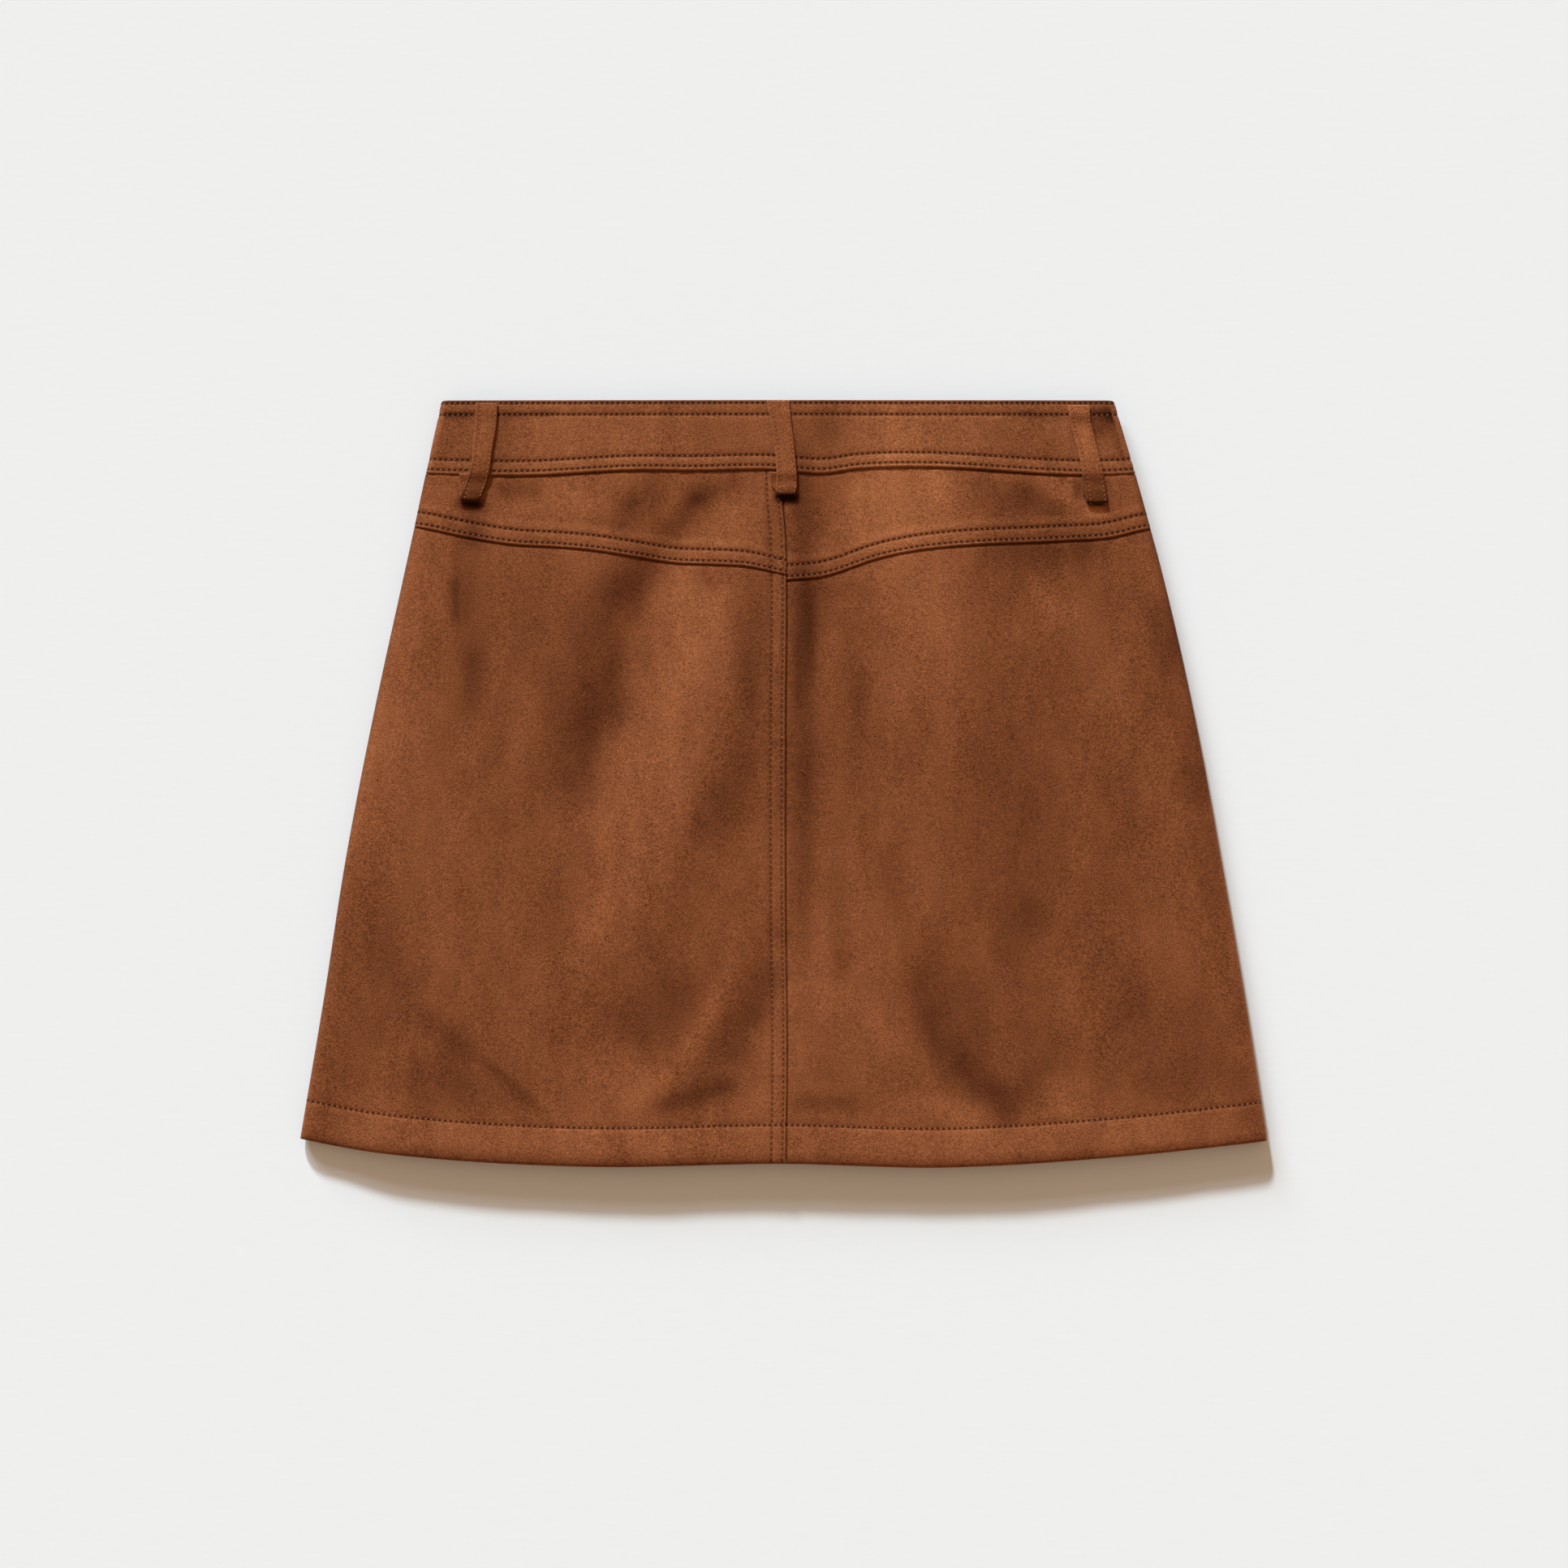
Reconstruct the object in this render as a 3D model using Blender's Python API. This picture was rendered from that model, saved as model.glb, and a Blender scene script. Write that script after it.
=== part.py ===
"""A mini skort in faux suede, laid flat with its back uppermost.

The waist points to +Y and the hem to -Y. The front panels rest on the plane z = 0, the inner
shorts lie on them, and the back panels and yokes cover both. Left and right are the wearer's, and
the wearer's left is at -X.

Tables are in millimetres. Everything else is in metres.
"""

import math
from collections import namedtuple

import bmesh
import bpy
from mathutils import Vector

MM = 0.001

# Cloth
SUEDE = 1.5 * MM            # one layer of faux suede
SHORTS_CLOTH = 1.0 * MM     # the lighter knit of the inner shorts
BAND_DEPTH = 3.0 * MM       # the waistband is folded, so two layers
HEM_DEPTH = 3.0 * MM        # the hem is turned up once
SEAM_GAP = 0.3 * MM         # left between two pieces that are sewn together
LAYER_GAP = 0.5 * MM        # left between two layers that lie on each other

# Laps and hems
LAP_WIDTH = 8.0 * MM        # the topstitched edge of a lapped seam
LAP_SLOPE = 2.5 * MM        # over which its step dies away
LAP_RISE = 1.0 * MM         # how far the folded edge stands above its neighbour
HEM_WIDTH = 20.9 * MM
HEM_SLOPE = 1.5 * MM
FRONT_HEM_SET = 2.0 * MM    # the front hem hangs this much shorter at the middle
BAND_RISE = 0.75 * MM       # the band stands this far above the yokes and the front panels

# Rounded sides of the flattened tube, measured across the garment
MEAN_HALF = 230.0 * MM      # half the garment's mean width
BACK_ROLL = 12.0 * MM
FRONT_ROLL = 4.0 * MM
BAND_ROLL = 4.0 * MM

# Closure at the centre front
OVERLAP_END = 12.0 * MM     # the waistband's outer end stops this far past the centre
TAB_START = 24.0 * MM       # the inner end leaves the front layer here
TAB_SET = 14.0 * MM         # and lies behind the outer end from here
TAB_END = 18.0 * MM
TAB_DEPTH = 1.5 * MM

# Belt loops
LOOP_WIDTH = 11.5 * MM
BACK_LOOP_CLOTH = 1.5 * MM
FRONT_LOOP_CLOTH = 1.2 * MM
BACK_LOOP_BEND = 1.3 * MM   # radius at the turned end, along the middle of the cloth
FRONT_LOOP_BEND = 0.75 * MM
LOOP_BEND_STEPS = 6
BACK_LOOP_STAND = 3.2 * MM  # gap between the end of a back loop and the cloth
BACK_LOOP_TAIL = 3.0 * MM   # the turned end goes up to this far below the waist seam
FRONT_LOOP_TAIL = 12.0 * MM

# Inner shorts
SHORTS_INSET = 15.0 * MM    # from the skirt's side to the shorts' side
SHORTS_TOP_GAP = 1.0 * MM

# Heights up the garment, in millimetres as in the tables
BAND_TOP = 205.4
SIDE_WAIST = 166.0          # the waist seam at both sides
SIDE_YOKE = 137.0           # the yoke seams at both sides
SIDE_HEM = -190.5           # the lower edge at both sides
RAMP_LOW = 137.8            # the front rises off the surface between these two,
RAMP_HIGH = 154.1           # on to the front belt loops
CROTCH = -62.0

# Outline of the laid garment: both sides at a few heights, and the lower edge across
Side = namedtuple("Side", "y left right")
SIDES = (
    Side(SIDE_HEM, -259.7, 259.0),
    Side(-114.7, -246.9, 247.3),
    Side(-38.7, -235.0, 234.3),
    Side(37.3, -220.3, 220.3),
    Side(113.4, -203.7, 203.0),
    Side(SIDE_WAIST, -192.1, 188.4),
    Side(BAND_TOP, -183.5, 176.8),
)
Edge = namedtuple("Edge", "x y")
LOWER_EDGE = (
    Edge(-259.7, -190.2),
    Edge(-216.0, -197.7),
    Edge(-110.0, -204.9),
    Edge(0.0, -203.4),
    Edge(85.0, -205.4),
    Edge(178.0, -199.8),
    Edge(259.0, -191.3),
)
# Seam lines across the back, and the centre back seam down it
WAIST_SEAM = (
    Edge(-192.1, SIDE_WAIST),
    Edge(-135.0, 164.8),
    Edge(-77.0, 167.6),
    Edge(-45.0, 167.4),
    Edge(-8.0, 168.0),
    Edge(22.0, 165.9),
    Edge(40.0, 168.4),
    Edge(75.0, 169.3),
    Edge(155.0, 165.1),
    Edge(188.4, SIDE_WAIST),
)
YOKE_SEAM_LEFT = (
    Edge(-198.7, 137.8),
    Edge(-170.0, 131.9),
    Edge(-145.0, 128.0),
    Edge(-120.0, 126.5),
    Edge(-100.0, 124.6),
    Edge(-77.0, 121.1),
    Edge(-57.0, 118.1),
    Edge(-35.0, 117.2),
    Edge(-18.0, 116.0),
    Edge(0.0, 111.7),
)
YOKE_SEAM_RIGHT = (
    Edge(0.0, 108.9),
    Edge(18.0, 110.9),
    Edge(47.0, 120.3),
    Edge(66.0, 124.3),
    Edge(90.0, 127.0),
    Edge(150.0, 130.0),
    Edge(174.0, 131.6),
    Edge(197.0, 136.9),
)
Centre = namedtuple("Centre", "y x")
CENTRE_BACK = (
    Centre(-205.0, 1.1),
    Centre(-145.0, 1.8),
    Centre(-60.0, 0.9),
    Centre(30.0, 0.9),
    Centre(115.0, 1.3),
    Centre(135.0, 0.6),
    Centre(155.0, -1.1),
    Centre(205.0, -1.9),
)

# Heights of the layers at a few levels: the underside, the side fold, the back at its shoulder,
# how much further it rises at the middle, and the gap inside the legs of the shorts
Level = namedtuple("Level", "y floor fold shoulder crown leg")
LEVELS = (
    Level(-205.0, 0.0, 3.4, 10.0, 1.6, 1.2),
    Level(-150.0, 0.0, 3.2, 9.4, 1.7, 1.2),
    Level(-40.0, 0.0, 3.0, 8.8, 2.0, 1.2),
    Level(60.0, 0.0, 3.0, 8.8, 2.0, 1.2),
    Level(RAMP_LOW, 0.0, 3.2, 9.0, 1.8, 0.4),
    Level(RAMP_HIGH, 3.0, 6.1, 9.5, 1.6, 0.4),
    Level(BAND_TOP, 3.0, 6.3, 9.6, 1.6, 0.4),
)

# Soft folds of the back: a ridge (rise above 0) or a trough along a line from its upper end (x, y)
# to its lower end, with its half width
Fold = namedtuple("Fold", "x_top y_top x_low y_low half_width rise")
FOLDS = (
    Fold(-84.0, 160.0, -150.0, -20.0, 24.0, 2.0),
    Fold(-54.0, 150.0, -110.0, -10.0, 17.0, -2.4),
    Fold(-8.0, 95.0, -74.0, -100.0, 22.0, 2.6),
    Fold(17.0, 96.0, 17.0, -90.0, 8.0, -0.9),
    Fold(92.0, 165.0, 98.0, -60.0, 26.0, 2.0),
    Fold(150.0, 60.0, 140.0, -90.0, 18.0, -1.4),
    Fold(74.0, -92.0, 114.0, -176.0, 18.0, -2.4),
    Fold(20.0, -110.0, 78.0, -172.0, 13.0, 1.5),
    Fold(6.0, -70.0, -40.0, -170.0, 12.0, -2.2),
    Fold(-200.0, -70.0, -128.0, -176.0, 16.0, 1.5),
)

# Where the sections of a piece lie: a set distance in from one edge, then a share of the rest
Station = namedtuple("Station", "offset part")


def stations(offsets, count):
    """Sections at set distances from an edge, then count more that share what is left."""
    last = offsets[-1]
    near = [Station(offset, 0.0) for offset in offsets]
    return near + [Station(last, (i + 1) / count) for i in range(count)]


LAP_OFFSETS = (0.0, LAP_WIDTH, LAP_WIDTH + LAP_SLOPE)
COLUMNS = stations(LAP_OFFSETS, 14)
YOKE_ROWS = stations(LAP_OFFSETS, 3)
PANEL_ROWS = stations((0.0, HEM_WIDTH, HEM_WIDTH + HEM_SLOPE), 16)
TURNS = (0.25, 0.5, 0.75, 1.0)
FRONT_SHARES = (0.0, 0.5, 1.0)
BAND_FRONT_SHARES = (0.0, 0.2, 0.4, 0.6, 0.8, 1.0)

# Belt loops: across and up the garment at each end, and how far a back loop's underside is from
# the cloth at a few distances down it
Loop = namedtuple("Loop", "name x_top y_top x_low y_low")
BACK_LOOPS = (
    Loop("belt_loop_back_left", -158.9, 203.4, -167.2, 154.6),
    Loop("belt_loop_back_centre", -2.0, 205.0, 1.4, 154.4),
    Loop("belt_loop_back_right", 157.2, 201.8, 167.4, 150.8),
)
Rest = namedtuple("Rest", "down gap")
LOOP_RESTS = (
    Rest(0.0, 0.3),
    Rest(7.0, 0.8),
    Rest(18.0, 2.2),
    Rest(36.0, 3.0),
)
FRONT_LOOPS = (
    Loop("belt_loop_front_left", -84.0, 203.0, -85.0, 156.0),
    Loop("belt_loop_front_right", 84.0, 203.0, 85.0, 156.0),
)

# Inner shorts: the inner edge of each leg at a few heights; above the crotch both meet
Inseam = namedtuple("Inseam", "y left right")
INSEAMS = (
    Inseam(-168.0, -40.0, 62.0),
    Inseam(-140.0, -29.0, 50.0),
    Inseam(-110.0, -16.0, 34.0),
    Inseam(-80.0, -3.0, 15.0),
    Inseam(CROTCH, 4.0, 5.0),
)
CROTCH_X = 4.5
SHORTS_LEVELS = (-25.0, 15.0, 60.0, 100.0, RAMP_LOW, RAMP_HIGH)
SHORTS_SHARES = (0.0, 0.33, 0.67, 1.0)

Finish = namedtuple("Finish", "name colour roughness")
SUEDE_FINISH = Finish("faux_suede", (0.235, 0.078, 0.028), 0.85)
SHORTS_FINISH = Finish("shorts_knit", (0.150, 0.052, 0.022), 0.90)


# ---- curves and heights ----

def smooth(knots, values, at):
    """A smooth curve through values at knots, level-headed outside them."""
    if at <= knots[0]:
        return values[0]
    if at >= knots[-1]:
        return values[-1]
    slopes = [(b - a) / (q - p) for a, b, p, q in zip(values, values[1:], knots, knots[1:])]
    i = next(k for k in range(len(slopes)) if at <= knots[k + 1])
    step = knots[i + 1] - knots[i]
    before = slopes[max(i - 1, 0)]
    after = slopes[min(i + 1, len(slopes) - 1)]
    start = 0.5 * (before + slopes[i])
    end = 0.5 * (slopes[i] + after)
    t = (at - knots[i]) / step
    return (
        values[i]
        + (values[i + 1] - values[i]) * t * t * (3.0 - 2.0 * t)
        + step * t * (1.0 - t) * (start * (1.0 - t) - end * t)
    )


def column(table, knot, value, at):
    """Read one named column of a millimetre table against another, in metres."""
    knots = [getattr(row, knot) for row in table]
    values = [getattr(row, value) for row in table]
    return smooth(knots, values, at / MM) * MM


def level(value, y):
    """Read LEVELS in straight runs, so that flat stretches stay flat."""
    at = min(max(y / MM, LEVELS[0].y), LEVELS[-1].y)
    low, high = next(pair for pair in zip(LEVELS, LEVELS[1:]) if at <= pair[1].y)
    share = (at - low.y) / (high.y - low.y)
    return (getattr(low, value) * (1.0 - share) + getattr(high, value) * share) * MM


def side_x(side, y):
    return column(SIDES, "y", "left" if side < 0 else "right", y)


def centre_x(y):
    return column(CENTRE_BACK, "y", "x", y)


def fold_rise(x, y):
    """Sum of the soft folds at a point of the back."""
    total = 0.0
    for fold in FOLDS:
        start = Vector((fold.x_top, fold.y_top))
        run = Vector((fold.x_low, fold.y_low)) - start
        reach = Vector((x / MM, y / MM)) - start
        along = reach.dot(run) / run.length_squared
        across = abs(reach.cross(run)) / run.length
        fade = math.exp(-((across / fold.half_width) ** 2))
        ends = math.exp(-((max(0.0, abs(along - 0.5) - 0.3) / 0.16) ** 2))
        total += fold.rise * fade * ends
    return total * MM


def back_height(x, y):
    """Height of the back's outer face, before laps and the rolled sides."""
    side = side_x(-1 if x < 0.0 else 1, y)
    share = min(abs(x / side), 1.0)
    crown = level("crown", y) * (1.0 - share * share)
    return level("shoulder", y) + crown + fold_rise(x, y) * (1.0 - share ** 6)


def lap(distance):
    """1 on a lapped edge, falling to 0 just beyond its second row of stitches."""
    share = min(max((distance - LAP_WIDTH) / LAP_SLOPE, 0.0), 1.0)
    return 1.0 - share * share * (3.0 - 2.0 * share)


# ---- seam lines, by the share of the half width ----

def waist_line(side, share):
    return column(WAIST_SEAM, "x", "y", share * side_x(side, SIDE_WAIST * MM))


def yoke_line(side, share):
    table = YOKE_SEAM_LEFT if side < 0 else YOKE_SEAM_RIGHT
    return column(table, "x", "y", share * side_x(side, SIDE_YOKE * MM))


def hem_line(side, share):
    return column(LOWER_EDGE, "x", "y", share * side_x(side, SIDE_HEM * MM))


# ---- walls of cloth ----

def wall(name, columns, rows, faces, finish):
    """Build one piece: faces(column, row) gives a point of its outer face and the one behind it."""
    bm = bmesh.new()
    across, up = len(columns) - 1, len(rows) - 1
    bmesh.ops.create_grid(bm, x_segments=across, y_segments=up, size=0.5)
    extruded = bmesh.ops.extrude_face_region(bm, geom=bm.faces[:], use_keep_orig=True)
    behind = {item for item in extruded["geom"] if isinstance(item, bmesh.types.BMVert)}
    points = {}
    for vert in bm.verts:
        i = round((vert.co.x + 0.5) * across)
        j = round((vert.co.y + 0.5) * up)
        if (i, j) not in points:
            points[i, j] = faces(columns[i], rows[j])
        outer, inner = points[i, j]
        vert.co = inner if vert in behind else outer
    bmesh.ops.recalc_face_normals(bm, faces=bm.faces[:])
    if bm.calc_volume(signed=True) < 0.0:
        bmesh.ops.reverse_faces(bm, faces=bm.faces[:])
    mesh = bpy.data.meshes.new(name)
    bm.to_mesh(mesh)
    bm.free()
    mesh.shade_smooth()
    mesh.set_sharp_from_angle(angle=math.radians(40.0))
    mesh.materials.append(material(finish))
    piece = bpy.data.objects.new(name, mesh)
    bpy.context.scene.collection.objects.link(piece)
    return piece


def material(finish):
    """One Principled material for each finish, made once."""
    made = bpy.data.materials.get(finish.name)
    if made:
        return made
    made = bpy.data.materials.new(finish.name)
    made.use_nodes = True
    shader = made.node_tree.nodes["Principled BSDF"]
    shader.inputs["Base Color"].default_value = (*finish.colour, 1.0)
    shader.inputs["Roughness"].default_value = finish.roughness
    shader.inputs["Metallic"].default_value = 0.0
    return made


def half_columns():
    """Columns of half the back: across to the shoulder, then round the rolled side."""
    return [(station, 0.0) for station in COLUMNS] + [(COLUMNS[-1], turn) for turn in TURNS]


def share_of_half(position):
    """About how far across the half a column lies, from 0 at the centre to 1 at the side."""
    station, turn = position
    half = MEAN_HALF
    run = half - BACK_ROLL
    distance = station.offset + station.part * (run - station.offset)
    return (distance + BACK_ROLL * math.sin(turn * math.pi / 2)) / half


def back_faces(side, position, y, rise, depth):
    """Outer and inner points of the back at a column and height."""
    station, turn = position
    start = centre_x(y) + side * SEAM_GAP / 2
    run = abs(side_x(side, y) - start) - BACK_ROLL
    distance = station.offset + station.part * (run - station.offset)
    angle = turn * math.pi / 2
    top = back_height(start + side * distance, y) + rise
    fold = level("fold", y) + SEAM_GAP / 2
    outer_x = start + side * (distance + BACK_ROLL * math.sin(angle))
    inner_x = start + side * (distance + (BACK_ROLL - depth) * math.sin(angle))
    outer_z = fold + (top - fold) * math.cos(angle)
    inner_z = fold + (top - depth - fold) * math.cos(angle)
    return Vector((outer_x, y, outer_z)), Vector((inner_x, y, inner_z))


def centre_lap(side, position):
    """The left pieces lap over the right ones at the centre back."""
    return lap(position[0].offset) if side < 0 and position[0].part == 0.0 else 0.0


def back_panel(name, side):
    def faces(position, station):
        share = share_of_half(position)
        low = hem_line(side, share)
        high = yoke_line(side, share) - SEAM_GAP / 2
        y = low + station.offset + station.part * (high - low - station.offset)
        rise = LAP_RISE * centre_lap(side, position)
        depth = SUEDE + rise
        if station.part == 0.0 and station.offset <= HEM_WIDTH:
            depth = HEM_DEPTH
        return back_faces(side, position, y, rise, depth)

    return wall(name, half_columns(), PANEL_ROWS, faces, SUEDE_FINISH)


def back_yoke(name, side):
    def faces(position, station):
        share = share_of_half(position)
        low = yoke_line(side, share) + SEAM_GAP / 2
        high = waist_line(side, share) - SEAM_GAP / 2
        y = low + station.offset + station.part * (high - low - station.offset)
        seam_lap = lap(station.offset) if station.part == 0.0 else 0.0
        rise = LAP_RISE * max(seam_lap, centre_lap(side, position))
        return back_faces(side, position, y, rise, SUEDE + rise)

    return wall(name, half_columns(), YOKE_ROWS, faces, SUEDE_FINISH)


def side_heights(side):
    """Heights of the back's sections at its side fold, which the front shares."""
    low = hem_line(side, 1.0)
    seam = yoke_line(side, 1.0)
    high = waist_line(side, 1.0) - SEAM_GAP / 2
    panel = [low + s.offset + s.part * (seam - low - s.offset) for s in PANEL_ROWS]
    yoke = [seam + s.offset + s.part * (high - seam - s.offset) for s in YOKE_ROWS[1:]]
    return panel + yoke


def front_panel(name, side):
    """A front half: flat on the surface, then turned up at its side to meet the back."""
    levels = side_heights(side)
    low_side, high_side = levels[0], levels[-1]
    columns = [(share, 0.0) for share in FRONT_SHARES] + [(1.0, turn) for turn in TURNS]

    def faces(position, y_side):
        share, turn = position
        part = (y_side - low_side) / (high_side - low_side)
        across = share if turn == 0.0 else 1.0
        low = hem_line(side, across) + FRONT_HEM_SET * (1.0 - across)
        y = low + part * (high_side - low)
        half = abs(side_x(side, y)) - SEAM_GAP / 2
        angle = turn * math.pi / 2
        depth = HEM_DEPTH if y_side - low_side <= HEM_WIDTH else SUEDE
        floor = level("floor", y)
        fold = level("fold", y) - SEAM_GAP / 2
        distance = share * (half - FRONT_ROLL)
        start = side * SEAM_GAP / 2
        outer_x = start + side * (distance + FRONT_ROLL * math.sin(angle))
        inner_x = start + side * (distance + (FRONT_ROLL - depth) * math.sin(angle))
        outer_z = fold - (fold - floor) * math.cos(angle)
        inner_z = fold - (fold - floor - depth) * math.cos(angle)
        return Vector((outer_x, y, outer_z)), Vector((inner_x, y, inner_z))

    return wall(name, columns, levels, faces, SUEDE_FINISH)


# ---- waistband ----

def band_path():
    """Columns of the waistband in order: the outer end, round the back, to the tab."""
    front_right = [("front", 1, share) for share in BAND_FRONT_SHARES]
    back = half_columns()[:len(COLUMNS)]
    turn_up = [("turn", 1, angle) for angle in (-60.0, -30.0, 0.0, 30.0, 60.0)]
    turn_down = [("turn", -1, angle) for angle in (60.0, 30.0, 0.0, -30.0, -60.0)]
    back_right = [("back", 1, position) for position in reversed(back)]
    back_left = [("back", -1, position) for position in back[1:]]
    front_left = [("front", -1, share) for share in reversed(BAND_FRONT_SHARES)]
    tab = [("tab", -1, TAB_SET), ("tab", 1, TAB_END)]
    return front_right + turn_up + back_right + back_left + turn_down + front_left + tab


def band_low(kind, side, place):
    """Lower edge of the waistband at a column."""
    if kind != "back":
        return waist_line(side, 1.0)
    return waist_line(side, share_of_half(place))


def waistband():
    """One folded strip all round, its ends lapped at the centre front."""
    def faces(spot, share):
        kind, side, place = spot
        low = band_low(kind, side, place) + SEAM_GAP / 2
        y = low + share * (BAND_TOP * MM - low)
        floor = level("floor", y)
        roof = level("shoulder", y)
        half = abs(side_x(side, y))
        flat = half - BAND_ROLL
        if kind == "front":
            start = -OVERLAP_END if side > 0 else TAB_START
            x = side * (start + place * (flat - start))
            return Vector((x, y, floor)), Vector((x, y, floor + BAND_DEPTH))
        if kind == "tab":
            low_z = floor + BAND_DEPTH + SEAM_GAP
            x = side * place
            return Vector((x, y, low_z)), Vector((x, y, low_z + TAB_DEPTH))
        if kind == "turn":
            angle = math.radians(place)
            middle = (floor + roof) / 2
            rise = (roof - floor) / 2
            outer_x = side * (flat + BAND_ROLL * math.cos(angle))
            inner_x = side * (flat + (BAND_ROLL - BAND_DEPTH) * math.cos(angle))
            outer_z = middle + rise * math.sin(angle)
            inner_z = middle + (rise - BAND_DEPTH) * math.sin(angle)
            return Vector((outer_x, y, outer_z)), Vector((inner_x, y, inner_z))
        station, _ = place
        centre = centre_x(y)
        run = abs(side * flat - centre)
        x = centre + side * (station.offset + station.part * (run - station.offset))
        top = back_height(x, y) + BAND_RISE * (1.0 - abs(x / half) ** 6)
        return Vector((x, y, top)), Vector((x, y, top - BAND_DEPTH))

    return wall("waistband", band_path(), (0.0, 0.5, 1.0), faces, SUEDE_FINISH)


# ---- belt loops ----

def bend(y_low, middle_z, radius, facing):
    """Half a turn at a loop's lower end, from its outer layer to the one behind it."""
    path = []
    for step in range(LOOP_BEND_STEPS + 1):
        angle = math.pi * step / LOOP_BEND_STEPS
        path.append((y_low - radius * math.sin(angle), middle_z + facing * radius * math.cos(angle)))
    return path


def loop_strip(loop, path, cloth, facing):
    """A strip of cloth along a path of (y, z), slanting from x_top to x_low."""
    y_top = loop.y_top * MM
    y_low = loop.y_low * MM
    normals = []
    for i in range(len(path)):
        before = Vector(path[max(i - 1, 0)])
        after = Vector(path[min(i + 1, len(path) - 1)])
        run = (after - before).normalized()
        normals.append(Vector((run.y, -run.x)) * facing * -1.0)

    def faces(across, i):
        y, z = path[i]
        share = min(max((y_top - y) / (y_top - y_low), 0.0), 1.0)
        x = (loop.x_top + share * (loop.x_low - loop.x_top)) * MM + across * LOOP_WIDTH / 2
        shift = normals[i] * cloth / 2
        return Vector((x, y + shift.x, z + shift.y)), Vector((x, y - shift.x, z - shift.y))

    return wall(loop.name, (-1.0, 0.0, 1.0), range(len(path)), faces, SUEDE_FINISH)


def back_loop(loop):
    """Held at the band's top edge, standing off the waist seam, and turned under at its end."""
    half = BACK_LOOP_CLOTH / 2
    seam = SIDE_WAIST * MM
    x = loop.x_low * MM
    path = []
    for rest in LOOP_RESTS:
        y = loop.y_top * MM - rest.down * MM
        path.append((y, back_height(x, y) + BAND_RISE + rest.gap * MM + half))
    outer = back_height(x, seam) + BAND_RISE + BACK_LOOP_STAND + half
    radius = BACK_LOOP_BEND
    path += bend(loop.y_low * MM + radius, outer - radius, radius, 1.0)
    path.append((seam - BACK_LOOP_TAIL, outer - 2 * radius))
    return loop_strip(loop, path, BACK_LOOP_CLOTH, 1.0)


def front_loop(loop):
    """Pressed flat under the front of the band, its outer face on the surface."""
    half = FRONT_LOOP_CLOTH / 2
    radius = FRONT_LOOP_BEND
    y_top, y_low = loop.y_top * MM, loop.y_low * MM
    under_band = level("floor", y_top) - SEAM_GAP - half
    path = [(y_top, under_band), (y_top - 5.0 * MM, under_band), (y_top - 11.0 * MM, half)]
    path += bend(y_low + radius, half + radius, radius, -1.0)
    path.append((y_low + FRONT_LOOP_TAIL, half + 2 * radius))
    return loop_strip(loop, path, FRONT_LOOP_CLOTH, -1.0)


# ---- inner shorts ----

def shorts_piece(name, side, layer):
    """One quarter of the inner shorts, a flat layer; layer is 0 in front and 1 behind."""
    lows = [row.y * MM for row in INSEAMS] + [y * MM for y in SHORTS_LEVELS]
    top = SIDE_WAIST * MM - SHORTS_TOP_GAP

    def inner_edge(y):
        if y <= CROTCH * MM:
            return column(INSEAMS, "y", "left" if side < 0 else "right", y)
        share = (y / MM - CROTCH) / (SIDE_WAIST - CROTCH)
        return CROTCH_X * (1.0 - share) ** 2 * MM

    def faces(share, y):
        near = inner_edge(y) + side * SEAM_GAP / 2
        far = side_x(side, y) - side * SHORTS_INSET
        x = near + share * (far - near)
        low = level("floor", y) + SUEDE + LAYER_GAP + layer * (SHORTS_CLOTH + level("leg", y))
        return Vector((x, y, low + SHORTS_CLOTH)), Vector((x, y, low))

    return wall(name, SHORTS_SHARES, lows + [top], faces, SHORTS_FINISH)


def main():
    for old in list(bpy.data.objects):
        bpy.data.objects.remove(old)
    for side, word in ((-1, "left"), (1, "right")):
        back_panel(f"back_panel_{word}", side)
        back_yoke(f"back_yoke_{word}", side)
        front_panel(f"front_panel_{word}", side)
        shorts_piece(f"shorts_front_{word}", side, 0)
        shorts_piece(f"shorts_back_{word}", side, 1)
    waistband()
    for loop in BACK_LOOPS:
        back_loop(loop)
    for loop in FRONT_LOOPS:
        front_loop(loop)


main()
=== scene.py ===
"""Looks of a mini skort in faux suede, laid flat with its back uppermost.

The file is laid out as an add-on with one operator for each group of pieces. Tables and the
shapes made from them are in millimetres, and are turned into metres as each mesh is written.
The waist points to +Y, the wearer's left is at -X and the surface it lies on is z = 0.
"""

import math
import random
from collections import namedtuple

import bmesh
import bpy
from bpy.props import FloatProperty, FloatVectorProperty, PointerProperty
from mathutils import Matrix, Vector, noise


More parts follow.
